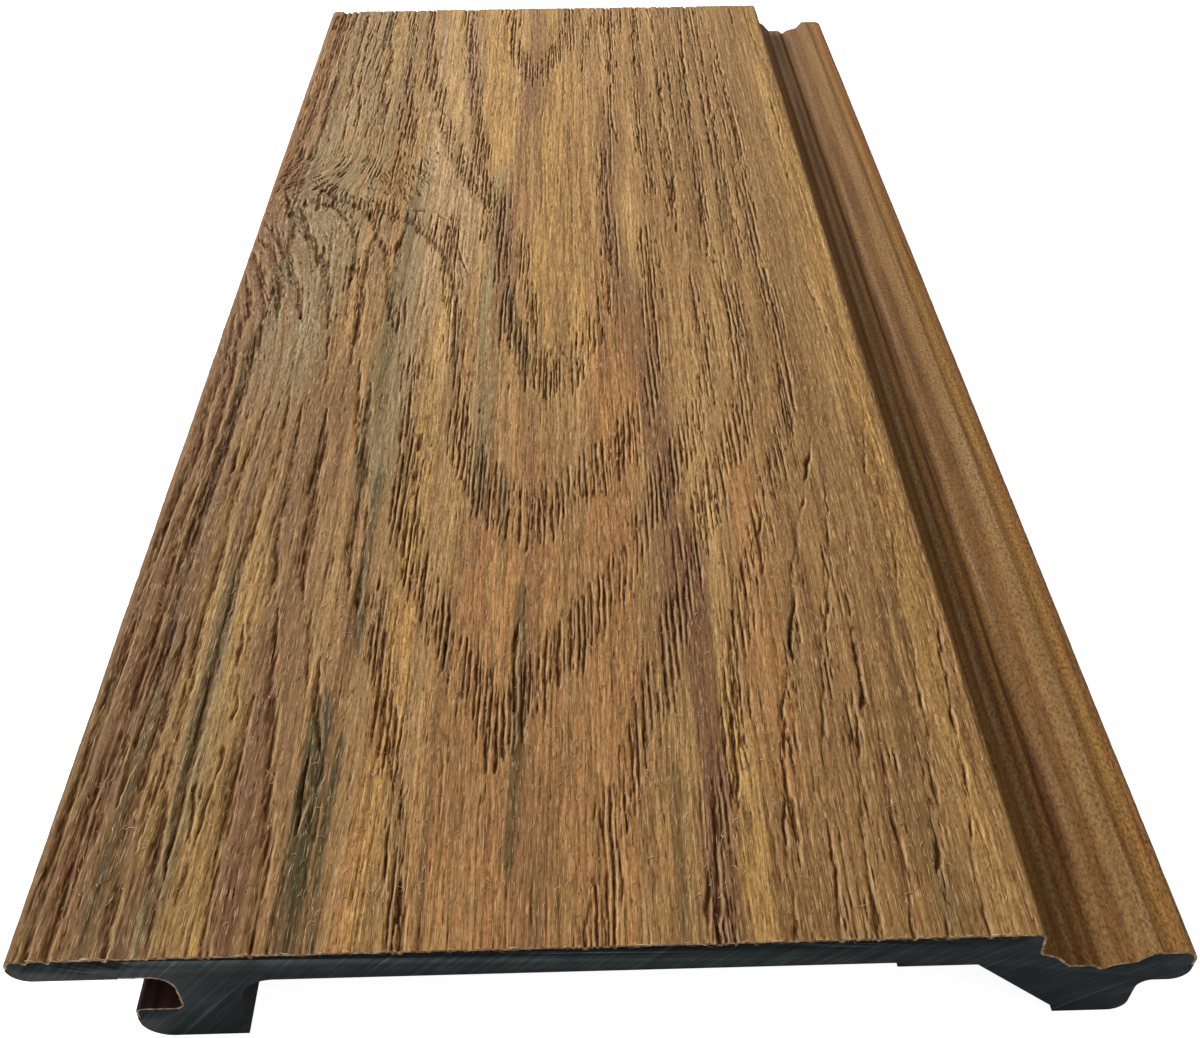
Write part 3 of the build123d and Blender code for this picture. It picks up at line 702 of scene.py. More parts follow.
def mesh_object(name, verts, faces, loop_normals=None, smooth_faces=None, material_index=None,
                materials=(), attributes=None):
    """A mesh object from plain arrays; faces is a list of arrays that hold equal-sided faces."""
    counts = np.concatenate([np.full(len(f), f.shape[1]) for f in faces])
    loops = np.concatenate([f.ravel() for f in faces]).astype(np.int32)
    mesh = bpy.data.meshes.new(name)
    mesh.vertices.add(len(verts))
    mesh.vertices.foreach_set("co", np.asarray(verts, dtype=np.float32).ravel())
    mesh.loops.add(len(loops))
    mesh.loops.foreach_set("vertex_index", loops)
    mesh.polygons.add(len(counts))
    starts = np.concatenate([[0], np.cumsum(counts)[:-1]]).astype(np.int32)
    mesh.polygons.foreach_set("loop_start", starts)
    for material in materials:
        mesh.materials.append(material)
    if material_index is not None:
        mesh.polygons.foreach_set("material_index", np.asarray(material_index, dtype=np.int32))
    mesh.update(calc_edges=True)
    mesh.validate()
    if smooth_faces is not None:
        mesh.polygons.foreach_set("use_smooth", np.asarray(smooth_faces, dtype=bool))
    for key, values in (attributes or {}).items():
        attribute = mesh.attributes.new(key, "FLOAT", "POINT")
        attribute.data.foreach_set("value", np.asarray(values, dtype=np.float32).ravel())
    if loop_normals is not None:
        mesh.normals_split_custom_set(loop_normals.tolist())
    mesh.update()
    obj = bpy.data.objects.new(name, mesh)
    bpy.context.scene.collection.objects.link(obj)
    return obj


def cap_strip(name, cols, surface, normals, rim, inner, attributes, materials):
    """A closed strip of the cap: its embossed outer grid, sawn rims and a plain inner side.

    surface and normals are whole grids, rim holds the cap's inner edge at both sawn ends, and
    inner the inner side a little way in from them. cols picks the strip's columns.
    """
    p = surface[cols]
    across, along = p.shape[:2]
    outer_count = across * along
    verts = [p.reshape(-1, 3), rim[0][cols], rim[1][cols], inner[0][cols], inner[1][cols]]
    base = np.cumsum([0, outer_count, across, across, across])
    i, j = np.meshgrid(np.arange(across - 1), np.arange(along - 1), indexing="ij")
    a = (i * along + j).ravel()
    outer = np.stack([a, a + along, a + along + 1, a + 1], axis=1)
    k = np.arange(across - 1)
    near_top = k * along
    far_top = k * along + along - 1
    near_rim = np.stack([base[1] + k, base[1] + k + 1, near_top + along, near_top], axis=1)
    far_rim = np.stack([far_top, far_top + along, base[2] + k + 1, base[2] + k], axis=1)
    near_step = np.stack([base[3] + k, base[3] + k + 1, base[1] + k + 1, base[1] + k], axis=1)
    floor = np.stack([base[4] + k, base[4] + k + 1, base[3] + k + 1, base[3] + k], axis=1)
    far_step = np.stack([base[2] + k, base[2] + k + 1, base[4] + k + 1, base[4] + k], axis=1)
    quads = [outer, near_rim, far_rim, near_step, floor, far_step]

    # The side walls fan out from the four inner points of the first and last column
    triangles = []
    for col, flip in ((0, False), (across - 1, True)):
        inner_near = base[3] + col
        inner_far = base[4] + col
        half = along // 2
        top = col * along + np.arange(along)
        side = [(inner_near, top[m], top[m + 1]) for m in range(half)]
        side += [(inner_far, top[m], top[m + 1]) for m in range(half, along - 1)]
        side += [(inner_near, top[half], inner_far)]
        side += [(base[1] + col, top[0], inner_near), (inner_far, top[-1], base[2] + col)]
        triangles += [t[::-1] if flip else t for t in side]
    faces = quads + [np.array(triangles)]
    sizes = [len(f) for f in faces]
    indices = np.repeat([0, 1, 1, 2, 2, 2, 2], sizes)
    smooth_faces = np.repeat([True, False, False, False, False, False, False], sizes)
    points = np.concatenate(verts)
    loop_normals = [normals[cols].reshape(-1, 3)[outer.ravel()]]
    for f in faces[1:]:
        n = np.cross(points[f[:, 1]] - points[f[:, 0]], points[f[:, -1]] - points[f[:, 0]])
        n = n / np.maximum(np.linalg.norm(n, axis=1, keepdims=True), 1e-12)
        loop_normals.append(np.repeat(n, f.shape[1], axis=0))
    extra = len(points) - outer_count
    values = {key: np.concatenate([v[cols].ravel(), np.zeros(extra)]) for key, v in attributes.items()}
    return mesh_object(name, points, faces, np.concatenate(loop_normals), smooth_faces, indices,
                       materials, values)


# Materials

class Tree:
    """The nodes of one material, with a short call for each kind that the materials share."""

    def __init__(self, node_tree):
        self.nodes = node_tree.nodes
        self.links = node_tree.links

    def put(self, socket, value):
        """Link a socket to another one, or set it to a number or a colour."""
        if isinstance(value, bpy.types.NodeSocket):
            self.links.new(value, socket)
        elif isinstance(value, tuple):
            socket.default_value = (*value, 1.0)
        else:
            socket.default_value = value

    def fill(self, node, values):
        """Link or set several inputs of a node by their names."""
        for name, value in values.items():
            self.put(node.inputs[name], value)

    def places(self):
        """The piece's own coordinates."""
        return self.nodes.new("ShaderNodeTexCoord").outputs["Object"]

    def split(self, vector):
        """The x, y and z of a vector."""
        node = self.nodes.new("ShaderNodeSeparateXYZ")
        self.put(node.inputs["Vector"], vector)
        return node.outputs["X"], node.outputs["Y"], node.outputs["Z"]

    def joined(self, x, y, z=0.0):
        """A vector of x, y and z."""
        node = self.nodes.new("ShaderNodeCombineXYZ")
        self.fill(node, {"X": x, "Y": y, "Z": z})
        return node.outputs["Vector"]

    def noise(self, source, stretch, scale, detail, rough=0.6):
        """The value of a noise texture on stretched coordinates."""
        mapping = self.nodes.new("ShaderNodeMapping")
        mapping.inputs["Scale"].default_value = stretch
        self.put(mapping.inputs["Vector"], source)
        texture = self.nodes.new("ShaderNodeTexNoise")
        self.fill(texture, {"Vector": mapping.outputs["Vector"], "Scale": scale, "Detail": detail,
                            "Roughness": rough})
        return texture.outputs["Fac"]

    def ramp(self, source, stops):
        """A colour ramp; stops are (position, colour)."""
        node = self.nodes.new("ShaderNodeValToRGB")
        elements = node.color_ramp.elements
        while len(elements) < len(stops):
            elements.new(0.5)
        for element, (position, colour) in zip(elements, stops):
            element.position = position
            element.color = (*colour, 1.0)
        self.put(node.inputs["Fac"], source)
        return node.outputs["Color"]

    def mix(self, factor, low, high, blend="MIX"):
        """A colour mix of low and high."""
        node = self.nodes.new("ShaderNodeMix")
        node.data_type = "RGBA"
        node.blend_type = blend
        for number, value in ((0, factor), (6, low), (7, high)):
            self.put(node.inputs[number], value)
        return node.outputs[2]

    def calc(self, operation, a, b=0.0, clamp=False):
        """The result of a math node."""
        node = self.nodes.new("ShaderNodeMath")
        node.operation = operation
        node.use_clamp = clamp
        self.put(node.inputs[0], a)
        self.put(node.inputs[1], b)
        return node.outputs[0]

    def times(self, a, b, clamp=False):
        """The product of two values."""
        return self.calc("MULTIPLY", a, b, clamp)

    def weighted(self, terms, shift=0.0):
        """The sum of sockets times their weights, plus a shift."""
        total = shift
        for socket, weight in terms:
            node = self.nodes.new("ShaderNodeMath")
            node.operation = "MULTIPLY_ADD"
            for number, value in enumerate((socket, weight, total)):
                self.put(node.inputs[number], value)
            total = node.outputs[0]
        return total

    def attribute(self, name):
        """The value of one of the mesh's own attributes."""
        node = self.nodes.new("ShaderNodeAttribute")
        node.attribute_name = name
        return node.outputs["Fac"]

    def step(self, value, low, high):
        """0 where value is under low, 1 over high and a smooth rise between."""
        node = self.nodes.new("ShaderNodeMapRange")
        node.interpolation_type = "SMOOTHSTEP"
        self.fill(node, {"Value": value, "From Min": low, "From Max": high})
        return node.outputs["Result"]

    def bump(self, height, strength, reach):
        """A normal that is bent by a height, which counts for reach in metres."""
        node = self.nodes.new("ShaderNodeBump")
        self.fill(node, {"Strength": strength, "Distance": reach, "Height": height})
        return node.outputs["Normal"]

    def camera_ray(self):
        """1 where the camera sees a surface itself and 0 elsewhere."""
        return self.nodes.new("ShaderNodeLightPath").outputs["Is Camera Ray"]


def new_material(name):
    """A node material, its tree and its shader."""
    material = bpy.data.materials.new(name)
    material.use_nodes = True
    tree = Tree(material.node_tree)
    return material, tree, tree.nodes["Principled BSDF"]


def srgb(*levels):
    """A linear colour from 8-bit sRGB numbers."""
    shares = [level / 255 for level in levels]
    return tuple(c / 12.92 if c <= 0.04045 else ((c + 0.055) / 1.055) ** 2.4 for c in shares)


BLACK = (0.0, 0.0, 0.0)
WHITE = (1.0, 1.0, 1.0)
STREAK_COLOURS = {
    "green": srgb(62, 54, 28),
    "grey": srgb(130, 120, 88),
    "purple": srgb(110, 72, 54),
    "orange": srgb(178, 122, 70),
    "ochre": srgb(186, 146, 80),
    "red": srgb(118, 76, 46),
    "dull": srgb(108, 80, 52),
    # shade is a dark brown: the cap's own darker tone in places, and painted shade in the recess and on the
    # nose
    "shade": srgb(92, 58, 30),
    "pale": srgb(184, 156, 118),
}


def cap_material():
    """Wood-coloured cap: streaks along the grain, dark pores with painted shade in the hollows, pale pore
    rims partly painted as highlights, threads partly painted as glints, and a satin sheen.
    """
    material, tree, shader = new_material("cap_wood")
    plain = tree.places()
    _, length_way, _ = tree.split(plain)
    coords = tree.joined(tree.attribute("across"), length_way)
    face = tree.attribute("face")
    band = tree.attribute("band")
    pore_and_shade = tree.attribute("pore_and_shade")

    def drawn_out(stretch, scale, detail, rough=0.6):
        """Noise that runs along the grain."""
        return tree.noise(coords, (1.0, stretch, 1.0), scale, detail, rough)

    def by_face(more, elsewhere):
        """A strength that is this much more on the face than elsewhere."""
        return tree.weighted([(face, more)], elsewhere)

    broad = drawn_out(0.035, 210, 3.0)
    tone = drawn_out(0.03, 700, 2.0)
    lines = drawn_out(0.022, 1150, 2.0)
    fine = drawn_out(0.075, 1900, 3.0, 0.7)
    hair = drawn_out(0.05, 6200, 1.0)
    tear = drawn_out(0.11, 2400, 2.0, 0.65)
    felt = tree.noise(plain, (1.0, 0.6, 1.0), 2300, 3.0, 0.7)

    # Base colour, and the streaks torn along the grain
    grain = tree.weighted([(broad, 0.62), (tone, 0.38)], -0.5)
    grain = tree.times(grain, by_face(0.6, 0.4))
    colour = tree.ramp(tree.weighted([(grain, 1.0)], 0.5), [
        (0.36, srgb(128, 92, 54)), (0.46, srgb(154, 116, 70)), (0.56, srgb(172, 134, 84)),
        (0.66, srgb(192, 154, 100))])
    # Darker and redder off the face, in the recess, on the tongue and round the nose: partly the cap's own
    # colour there and partly painted shade of the recess
    colour = tree.mix(by_face(-1.0, 1.0), colour, (0.74, 0.66, 0.53), "MULTIPLY")
    torn = tree.weighted([(fine, 2.2), (lines, 2.4), (hair, 1.2), (felt, 1.0)], -2.65)
    torn = tree.times(tree.calc("MAXIMUM", torn, 0.0), 1.15)
    for kind in STREAK_KINDS:
        mask = tree.times(tree.attribute(kind), torn, True)
        colour = tree.mix(mask, colour, STREAK_COLOURS[kind])

    # Fine lines along the grain, felt-like speckle, single dark threads, and golden threads that are partly
    # pale fibres and partly painted glints
    shade = tree.ramp(fine, [(0.32, (0.5, 0.45, 0.39)), (0.5, WHITE), (0.7, (1.25, 1.23, 1.17))])
    colour = tree.mix(by_face(0.5, 0.15), colour, shade, "MULTIPLY")
    long_shade = tree.ramp(lines, [(0.36, (0.68, 0.63, 0.56)), (0.5, WHITE), (0.66, (1.2, 1.19, 1.16))])
    colour = tree.mix(by_face(0.6, 0.2), colour, long_shade, "MULTIPLY")
    speckle = tree.ramp(felt, [(0.34, (0.42, 0.37, 0.31)), (0.5, WHITE), (0.68, (1.5, 1.46, 1.38))])
    colour = tree.mix(by_face(-0.45, 0.9), colour, speckle, "MULTIPLY")
    dark_hair = tree.calc("SUBTRACT", 1.0, tree.step(hair, 0.34, 0.42))
    dark_hair = tree.times(dark_hair, by_face(0.5, 0.1))
    colour = tree.mix(dark_hair, colour, (0.45, 0.37, 0.29), "MULTIPLY")
    # Golden threads: partly pale fibres and partly painted glints
    gold_and_glint = tree.times(tree.step(hair, 0.60, 0.66), by_face(0.34, 0.06))
    colour = tree.mix(gold_and_glint, colour, srgb(234, 196, 138))

    # Pores: the embossed ones with torn outlines, darkened partly as painted shade that
    # deepens with depth, and paler rims that are partly a painted highlight of their lit
    # wall, and finer ones that crowd in the bands
    torn_pore_and_shade = tree.step(tree.weighted([(pore_and_shade, 1.0), (tear, 1.7)], -0.85), 0.34, 0.66)
    colour = tree.mix(torn_pore_and_shade, colour, (0.43, 0.33, 0.25), "MULTIPLY")
    slit = tree.step(tree.weighted([(tear, 1.0), (band, 0.12), (face, 0.03)]), 0.68, 0.73)
    slit = tree.times(slit, face)
    colour = tree.mix(slit, colour, (0.52, 0.41, 0.32), "MULTIPLY")
    # Pale rims on the pores' walls that face the key lamp: partly torn fibre and partly a painted highlight
    torn_rim_and_highlight = tree.weighted([(fine, 2.4), (tear, 1.4)], -1.4)
    torn_rim_and_highlight = tree.times(tree.attribute("pale_rim_and_highlight"), torn_rim_and_highlight, True)
    colour = tree.mix(torn_rim_and_highlight, colour, srgb(222, 184, 134))

    rough = tree.weighted([(fine, -0.25), (torn_pore_and_shade, 0.2)], 0.68)
    height = tree.weighted([
        (fine, 0.5), (hair, 0.35), (felt, 0.45), (tone, 0.6), (torn_pore_and_shade, -0.45), (slit, -0.4)])
    tree.fill(shader, {"Base Color": colour, "Roughness": rough, "Specular IOR Level": 0.08,
                       "Normal": tree.bump(height, 1.0, 0.00026)})
    return material


def sawn_material():
    """Dark core on the sawn ends, with the arcs that the saw's teeth leave."""
    material, tree, shader = new_material("core_sawn")
    coords = tree.places()
    x, y, z = tree.split(coords)
    dx = tree.calc("SUBTRACT", x, SAW_CENTRE[0])
    dz = tree.calc("SUBTRACT", z, SAW_CENTRE[1])
    squares = tree.calc("ADD", tree.times(dx, dx), tree.times(dz, dz))
    swing = tree.times(tree.calc("ARCTAN2", dz, dx), SAW_REACH)
    arcs = tree.joined(tree.calc("SQRT", squares), swing, y)
    fine = tree.noise(arcs, (1.0, 1.0, 0.02), 1900, 2.0, 0.5)
    mark = tree.noise(arcs, (1.0, 0.6, 0.02), 620, 1.0, 0.5)
    mottle = tree.noise(coords, (1.0, 0.3, 1.0), 260, 4.0)
    colour = tree.ramp(fine, [(0.34, srgb(47, 55, 56)), (0.52, srgb(58, 67, 68)), (0.66, srgb(72, 82, 82))])
    shade = tree.ramp(mottle, [(0.3, (0.72, 0.74, 0.74)), (0.7, (1.25, 1.25, 1.25))])
    colour = tree.mix(0.8, colour, shade, "MULTIPLY")
    lines = tree.ramp(mark, [(0.66, BLACK), (0.70, WHITE), (0.73, BLACK)])
    colour = tree.mix(tree.times(lines, 0.55), colour, srgb(122, 132, 128))
    tree.fill(shader, {"Base Color": colour, "Roughness": 0.6, "Specular IOR Level": 0.3,
                       "Normal": tree.bump(fine, 0.2, 0.00008)})
    return material


def mottled_material(name, stretch, scale, detail, stops, roughness, gloss=0.5, rough_noise=0.6):
    """A material whose colour is one noise, drawn out along the board by its stretch."""
    material, tree, shader = new_material(name)
    mottle = tree.noise(tree.places(), (1.0, stretch, 1.0), scale, detail, rough_noise)
    tree.fill(shader, {"Base Color": tree.ramp(mottle, stops), "Roughness": roughness,
                       "Specular IOR Level": gloss})
    return material


def floor_material():
    """White floor that still takes a soft shadow."""
    material, tree, shader = new_material("floor_white")
    glow = tree.times(tree.camera_ray(), FLOOR_GLOW)
    tree.fill(shader, {"Base Color": (0.62, 0.62, 0.62), "Roughness": 0.9, "Specular IOR Level": 0.0,
                       "Emission Color": WHITE, "Emission Strength": glow})
    return material


# The capped surface as one grid

face_steps = [FACE_STEP] * 2 + [RECESS_STEP] * (len(FACE_PATH) - 3)
path_xz, path_normals, path_counts = round_path(FACE_PATH, face_steps, ARC_STEP)
rim_path = moved_in(FACE_PATH, CAP + TOP_ROOM)
rim_xz, rim_normals, _ = round_path(rim_path, face_steps, ARC_STEP, path_counts)
deep_path = moved_in(FACE_PATH, CAP + INNER_ROOM)
deep_xz, deep_normals, _ = round_path(deep_path, face_steps, ARC_STEP, path_counts)
steps = np.hypot(*np.diff(path_xz, axis=0).T)
reach = np.concatenate([[0.0], np.cumsum(steps)])
first_flat = np.argmax(path_xz[:, 0] > FLAT_START)
unrolled = reach - reach[first_flat] + path_xz[first_flat, 0]
face_end = int(np.argmax(unrolled > STRIPS_END))

rows = round((LENGTH - 2 * END_ROOM) / ROW_STEP) + 1
y_rows = np.linspace(END_ROOM, LENGTH - END_ROOM, rows)
U, Y = np.meshgrid(unrolled.astype(np.float32), y_rows.astype(np.float32), indexing="ij")
traced_x = U - LEAN * Y + TRACE_SHIFT

grain = np.zeros_like(U)
dark = np.zeros_like(U)
grained = slice(0, face_end + 10)
band = np.zeros_like(U)
across = U.copy()
pale_rim_and_highlight = np.zeros_like(U)
grain[grained], dark[grained], band[grained], across[grained], pale_rim_and_highlight[grained] = relief(
    traced_x[grained], Y[grained])

# The grain fades out round the nose and over the face's edge, where a felt-like skin
# begins, and is shallow beside them
fade = smooth(-2.4, 1.6, U) * (1 - smooth(133.6, 135.6, U))
grain = np.minimum(grain, 0.5 + 0.8 * smooth(0.5, 4.0, U) * (1 - smooth(130.0, 133.0, U)))
skin = 0.05 * (0.5 + 0.5 * value_noise(51, U, Y, 0.7, 1.1))
skin = skin + 0.05 * (0.5 + 0.5 * value_noise(52, U, Y, 1.2, 22))
sunk = TOP_ROOM * smooth(-2.0, 0.5, U) * (1 - smooth(134.0, 136.0, U))
depth = sunk + grain * fade + skin * (1 - fade)

outer = path_xz[:, None, :] - path_normals[:, None, :] * depth[..., None]
surface = to_world(outer[..., 0], Y, outer[..., 1])
normals = grid_normals(surface)

# Streaks are traced over the face's unrolled width and, past its edge, over the true one
true_x = np.repeat(path_xz[:, :1], rows, axis=1).astype(np.float32)
streak_x = np.where(U < 134.5, traced_x, true_x)
attributes = {"pore_and_shade": dark * fade, "band": band * fade, "across": across * MM, "face": fade,
              "pale_rim_and_highlight": pale_rim_and_highlight * fade}
for kind in STREAK_KINDS:
    attributes[kind] = streaks(kind, streak_x, Y)

rims = []
inners = []
for col, y, way in ((0, y_rows[0], 1), (-1, y_rows[-1], -1)):
    rims.append(section_line(rim_xz + rim_normals * (TOP_ROOM - depth[:, col, None]), y))
    flat = smooth(1.0, 4.0, unrolled) * (1 - smooth(130.5, 132.6, unrolled))
    inners.append(section_line(deep_xz - deep_normals * flat[:, None], y + way * INNER_START))

# The cap, its torn pale sawn rim, the core's sawn ends, its nearly black skin with faint
# lines from the die, darkened below the sawn core's grey as painted shade of the flanks and
# undersides, the groove's reddish brown lining, darkened nearly to black as painted shade
# inside the groove, and the pale loose fibres
cap_wood = cap_material()
cap_rim = mottled_material("cap_rim", 1.0, 1500, 3.0, [
    (0.36, srgb(120, 84, 56)), (0.5, srgb(196, 156, 118)), (0.66, srgb(236, 206, 170))], 0.8)
core_sawn = sawn_material()
# The core's extruded skin: nearly black, darker than the sawn core as painted shade of the flanks and
# undersides
core_skin_and_shade = mottled_material("core_skin_and_shade", 0.01, 900, 3.0, [
    (0.3, srgb(22, 24, 25)), (0.7, srgb(40, 43, 44))], 0.5, 0.4)
# The groove's lining: the cap's reddish brown, darkened nearly to black as painted shade inside the groove
shaded_groove_lining = mottled_material("shaded_groove_lining", 0.03, 900, 3.0, [
    (0.3, srgb(40, 20, 12)), (0.5, srgb(62, 32, 20)), (0.7, srgb(86, 52, 32))], 0.6)
fibre = mottled_material("fibre", 1.0, 900, 2.0, [
    (0.36, srgb(150, 112, 70)), (0.64, srgb(236, 204, 158))], 0.6, 0.3, 0.5)

strip_starts = np.linspace(0, face_end, STRIPS + 1).round().astype(int)
strips = [("face_strip_%d" % (n + 1), slice(strip_starts[n], strip_starts[n + 1] + 1))
          for n in range(STRIPS)]
strips.append(("recess_strip", slice(face_end, len(unrolled))))
pieces = [cap_strip(name, cols, surface, normals, rims, inners, attributes, (cap_wood, cap_rim, core_skin_and_shade))
          for name, cols in strips]
for piece in pieces:
    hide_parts("face_cap")
    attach(piece, "root")

# Loose fibres: short curls that lie on the grain, and burrs along the near cut's upper edge

top_of_row = outer[..., 1]


def height_at(x, y):
    """Level of the embossed surface at x and y, for places on its flat part."""
    i = np.clip(np.searchsorted(unrolled, x), 0, len(unrolled) - 1)
    j = np.clip(np.round((y - END_ROOM) / (y_rows[1] - y_rows[0])).astype(int), 0, rows - 1)
    return top_of_row[i, j]


def curls(rng, x, y, angle, length, bend):
    """Places along bent hairs in a plane, as two arrays of hairs by points."""
    s = np.linspace(-0.5, 0.5, HAIR_POINTS)
    heading = angle[:, None] + bend[:, None] * s + rng.normal(0, 0.18, (len(x), HAIR_POINTS))
    step = length[:, None] / (HAIR_POINTS - 1)
    px = x[:, None] + np.cumsum(np.cos(heading) * step, axis=1)
    py = y[:, None] + np.cumsum(np.sin(heading) * step, axis=1)
    return px, py


def tubes(path, radius):
    """Closed three-sided tubes round hairs; path is hairs by points by x, y, z."""
    hairs, points, _ = path.shape
    ahead = np.gradient(path, axis=1)
    ahead /= np.maximum(np.linalg.norm(ahead, axis=2, keepdims=True), 1e-9)
    side = np.cross(ahead, np.array((0.0, 0.0, 1.0)))
    side /= np.maximum(np.linalg.norm(side, axis=2, keepdims=True), 1e-9)
    rise = np.cross(side, ahead)
    taper = np.interp(np.arange(points), [0, 1, points - 2, points - 1], [0.5, 1.0, 1.0, 0.3])
    size = radius[:, None, None] * taper[None, :, None]
    ring = [path + size * (side * math.cos(a) + rise * math.sin(a)) for a in (0.5, 2.6, 4.7)]
    verts = np.stack(ring, axis=2).reshape(-1, 3)
    h, p = np.meshgrid(np.arange(hairs), np.arange(points - 1), indexing="ij")
    quads = []
    for k in range(3):
        a = ((h * points + p) * 3 + k).ravel()
        b = ((h * points + p) * 3 + (k + 1) % 3).ravel()
        quads.append(np.stack([a, a + 3, b + 3, b], axis=1))
    first = np.arange(hairs) * points * 3
    last = first + (points - 1) * 3
    ends = np.concatenate([np.stack([first, first + 1, first + 2], axis=1),
                           np.stack([last + 2, last + 1, last], axis=1)])
    return verts, [np.concatenate(quads), ends]


rng = np.random.default_rng(77)
hair_y = 3 + 318 * rng.beta(1.0, 1.8, LYING_HAIRS)
hair_x = rng.uniform(4, 130, LYING_HAIRS)
hair_angle = math.pi / 2 + rng.normal(0, 0.5, LYING_HAIRS)
hair_length = rng.uniform(0.5, 2.2, LYING_HAIRS)
hair_bend = rng.normal(0, 1.6, LYING_HAIRS)
hair_x, hair_y = curls(rng, hair_x, hair_y, hair_angle, hair_length, hair_bend)
hair_x = np.clip(hair_x, 3.0, 131.5)
hair_y = np.clip(hair_y, 0.6, LENGTH - 0.6)
hair_z = np.minimum(height_at(hair_x, hair_y) + 0.05, HAIR_TOP)
lying = np.stack([hair_x, hair_y, hair_z], axis=-1)

burr_x = rng.uniform(2.5, 133, BURRS)
burr_angle = rng.choice([0.0, math.pi], BURRS) + rng.normal(0, 0.5, BURRS)
burr_length = rng.uniform(0.5, 2.0, BURRS)
burr_bend = rng.normal(0, 1.8, BURRS)
burr_x, burr_z = curls(rng, burr_x, np.zeros(BURRS), burr_angle, burr_length, burr_bend)
burr_x = np.clip(burr_x, 2.0, 133.5)
rim_z = height_at(burr_x, np.zeros_like(burr_x))
burr_z = np.clip(rim_z + 0.6 * burr_z - 0.12, rim_z - 0.8, HAIR_TOP)
burr_y = np.broadcast_to(np.linspace(0.3, 0.08, HAIR_POINTS), burr_x.shape)
burrs = np.stack([burr_x, burr_y, burr_z], axis=-1)

hairs = np.concatenate([lying, burrs])
hair_verts, hair_faces = tubes(hairs, rng.uniform(0.025, 0.05, len(hairs)))
fibres = mesh_object("loose_fibres", to_world(hair_verts[:, 0], hair_verts[:, 1], hair_verts[:, 2]),
                     hair_faces, materials=(fibre,))
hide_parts("face_cap")
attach(fibres, "root")

# The groove's lining, smooth but for its torn sawn ends

lining_xz, lining_normals, lining_counts = round_path(GROOVE_PATH, LINING_STEP, PLAIN_ARC_STEP)
under_xz, under_normals, _ = round_path(moved_in(GROOVE_PATH, CAP), LINING_STEP, PLAIN_ARC_STEP,
                                        lining_counts)
lining_rows = np.concatenate([[END_ROOM], np.linspace(1.5, LENGTH - 1.5, 41), [LENGTH - END_ROOM]])
GU, GY = np.meshgrid(np.arange(len(lining_xz)) * LINING_STEP, lining_rows, indexing="ij")
ripple = 0.04 + 0.04 * value_noise(61, GU, GY, 1.5, 9)
ends = np.minimum(GY - END_ROOM, LENGTH - END_ROOM - GY) < 0.1
ripple = np.where(ends, 0.1 + 0.1 * value_noise(62, GU, GY, 0.6, 3), ripple)
lining_outer = lining_xz[:, None, :] - lining_normals[:, None, :] * ripple[..., None]
lining_surface = to_world(lining_outer[..., 0], GY, lining_outer[..., 1])
lining_rims = []
lining_inners = []
for y, way in ((lining_rows[0], 1), (lining_rows[-1], -1)):
    lining_rims.append(section_line(under_xz, y))
    lining_inners.append(section_line(under_xz - under_normals * 0.1, y + way * INNER_START))
lining = cap_strip("groove_strip", slice(0, len(lining_xz)), lining_surface, grid_normals(lining_surface),
                   lining_rims, lining_inners, {}, (shaded_groove_lining, cap_rim, core_skin_and_shade))
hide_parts("groove_cap")
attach(lining, "root")

# The dark core, whose sawn ends follow the grain under the cap's rim

back_xz, _, _ = round_path(BACK_PATH, 4.0, PLAIN_ARC_STEP)
nose_xz, _, _ = round_path(NOSE_PATH, 2.0, PLAIN_ARC_STEP)


def core_ring(cap_points, lining_points, y):
    """The core's closed outline at one y, going round under the cap and the lining."""
    back = section_line(back_xz, y)
    nose = section_line(nose_xz[:-1], y)
    return np.concatenate([cap_points, back, lining_points, nose])


rings = [core_ring(rims[0], lining_rims[0], y_rows[0]),
         core_ring(inners[0], lining_inners[0], y_rows[0] + INNER_START),
         core_ring(inners[1], lining_inners[1], y_rows[-1] - INNER_START),
         core_ring(rims[1], lining_rims[1], y_rows[-1])]
size = len(rings[0])
k = np.arange(size)
after = (k + 1) % size
walls = [np.stack([k + m * size, after + m * size, after + (m + 1) * size, k + (m + 1) * size], axis=1)
         for m in range(3)]
near_face = k[::-1].reshape(1, -1)
far_face = (k + 3 * size).reshape(1, -1)
core = mesh_object("core_body", np.concatenate(rings), walls + [near_face, far_face],
                   material_index=[0] * (3 * size) + [1, 1], materials=(core_skin_and_shade, core_sawn))
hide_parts("core")
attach(core, "root")

# Floor, light and camera

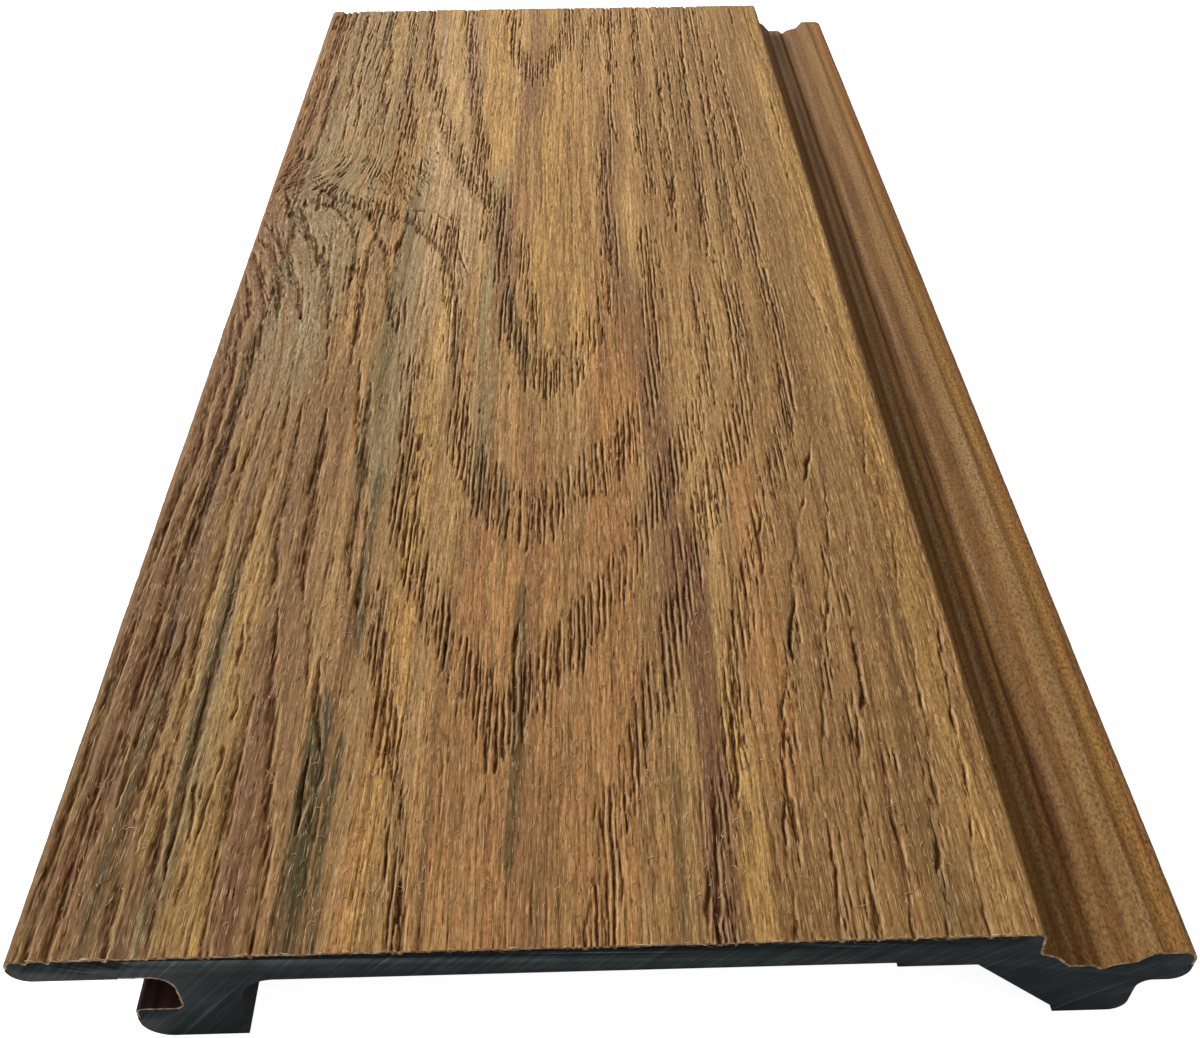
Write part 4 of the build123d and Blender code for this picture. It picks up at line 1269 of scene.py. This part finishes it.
floor_corners = np.array([(-1, -1, 0), (1, -1, 0), (1, 1, 0), (-1, 1, 0)]) * FLOOR_REACH
floor = mesh_object("floor", floor_corners, [np.array([[0, 1, 2, 3]])], materials=(floor_material(),))

# The backdrop is white to the camera and lights the board only a little
scene = bpy.context.scene
world = bpy.data.worlds.new("studio")
world.use_nodes = True
sky = Tree(world.node_tree)
strength = sky.weighted([(sky.camera_ray(), 1.0 - WORLD_LIGHT)], WORLD_LIGHT)
sky.fill(sky.nodes["Background"], {"Color": WHITE, "Strength": strength})
scene.world = world


def softbox(name, place, target, size, power):
    """A square lamp that faces target; its size is in metres and its power in watts."""
    lamp = bpy.data.lights.new(name, "AREA")
    lamp.shape = "SQUARE"
    lamp.size = size
    lamp.energy = power
    obj = bpy.data.objects.new(name, lamp)
    obj.location = place
    obj.rotation_euler = (Vector(target) - Vector(place)).to_track_quat("-Z", "Y").to_euler()
    scene.collection.objects.link(obj)


softbox("key", (-0.74, 0.56, 0.68), (0, 0.02, 0), 0.34, 16.6)
softbox("window", (-0.25, 1.45, 0.76), (0, 0.04, 0), 0.7, 7.0)
softbox("fill", (0.6, -0.8, 1.0), (0, -0.1, 0), 1.0, 2.5)

# The camera fitted to the photo: angles in radians, place in metres, lens in millimetres
PITCH, YAW, ROLL = 0.73215, 0.02153, -0.00677
CAMERA_PLACE = (-0.002924, -0.247238, 0.170643)
LENS = 38.2597

ahead = Vector((math.sin(YAW) * math.cos(PITCH), math.cos(YAW) * math.cos(PITCH), -math.sin(PITCH)))
right = Vector((math.cos(YAW), -math.sin(YAW), 0.0))
up = right.cross(ahead)
rolled_right = right * math.cos(ROLL) + up * math.sin(ROLL)
rolled_up = up * math.cos(ROLL) - right * math.sin(ROLL)
camera = bpy.data.objects.new("camera", bpy.data.cameras.new("camera"))
camera.data.sensor_width = 36.0
camera.data.lens = LENS
camera.data.clip_start = 0.01
turn = Matrix((rolled_right, rolled_up, -ahead)).transposed().to_4x4()
camera.matrix_world = Matrix.Translation(CAMERA_PLACE) @ turn
scene.collection.objects.link(camera)
scene.camera = camera

scene.view_settings.view_transform = "Standard"
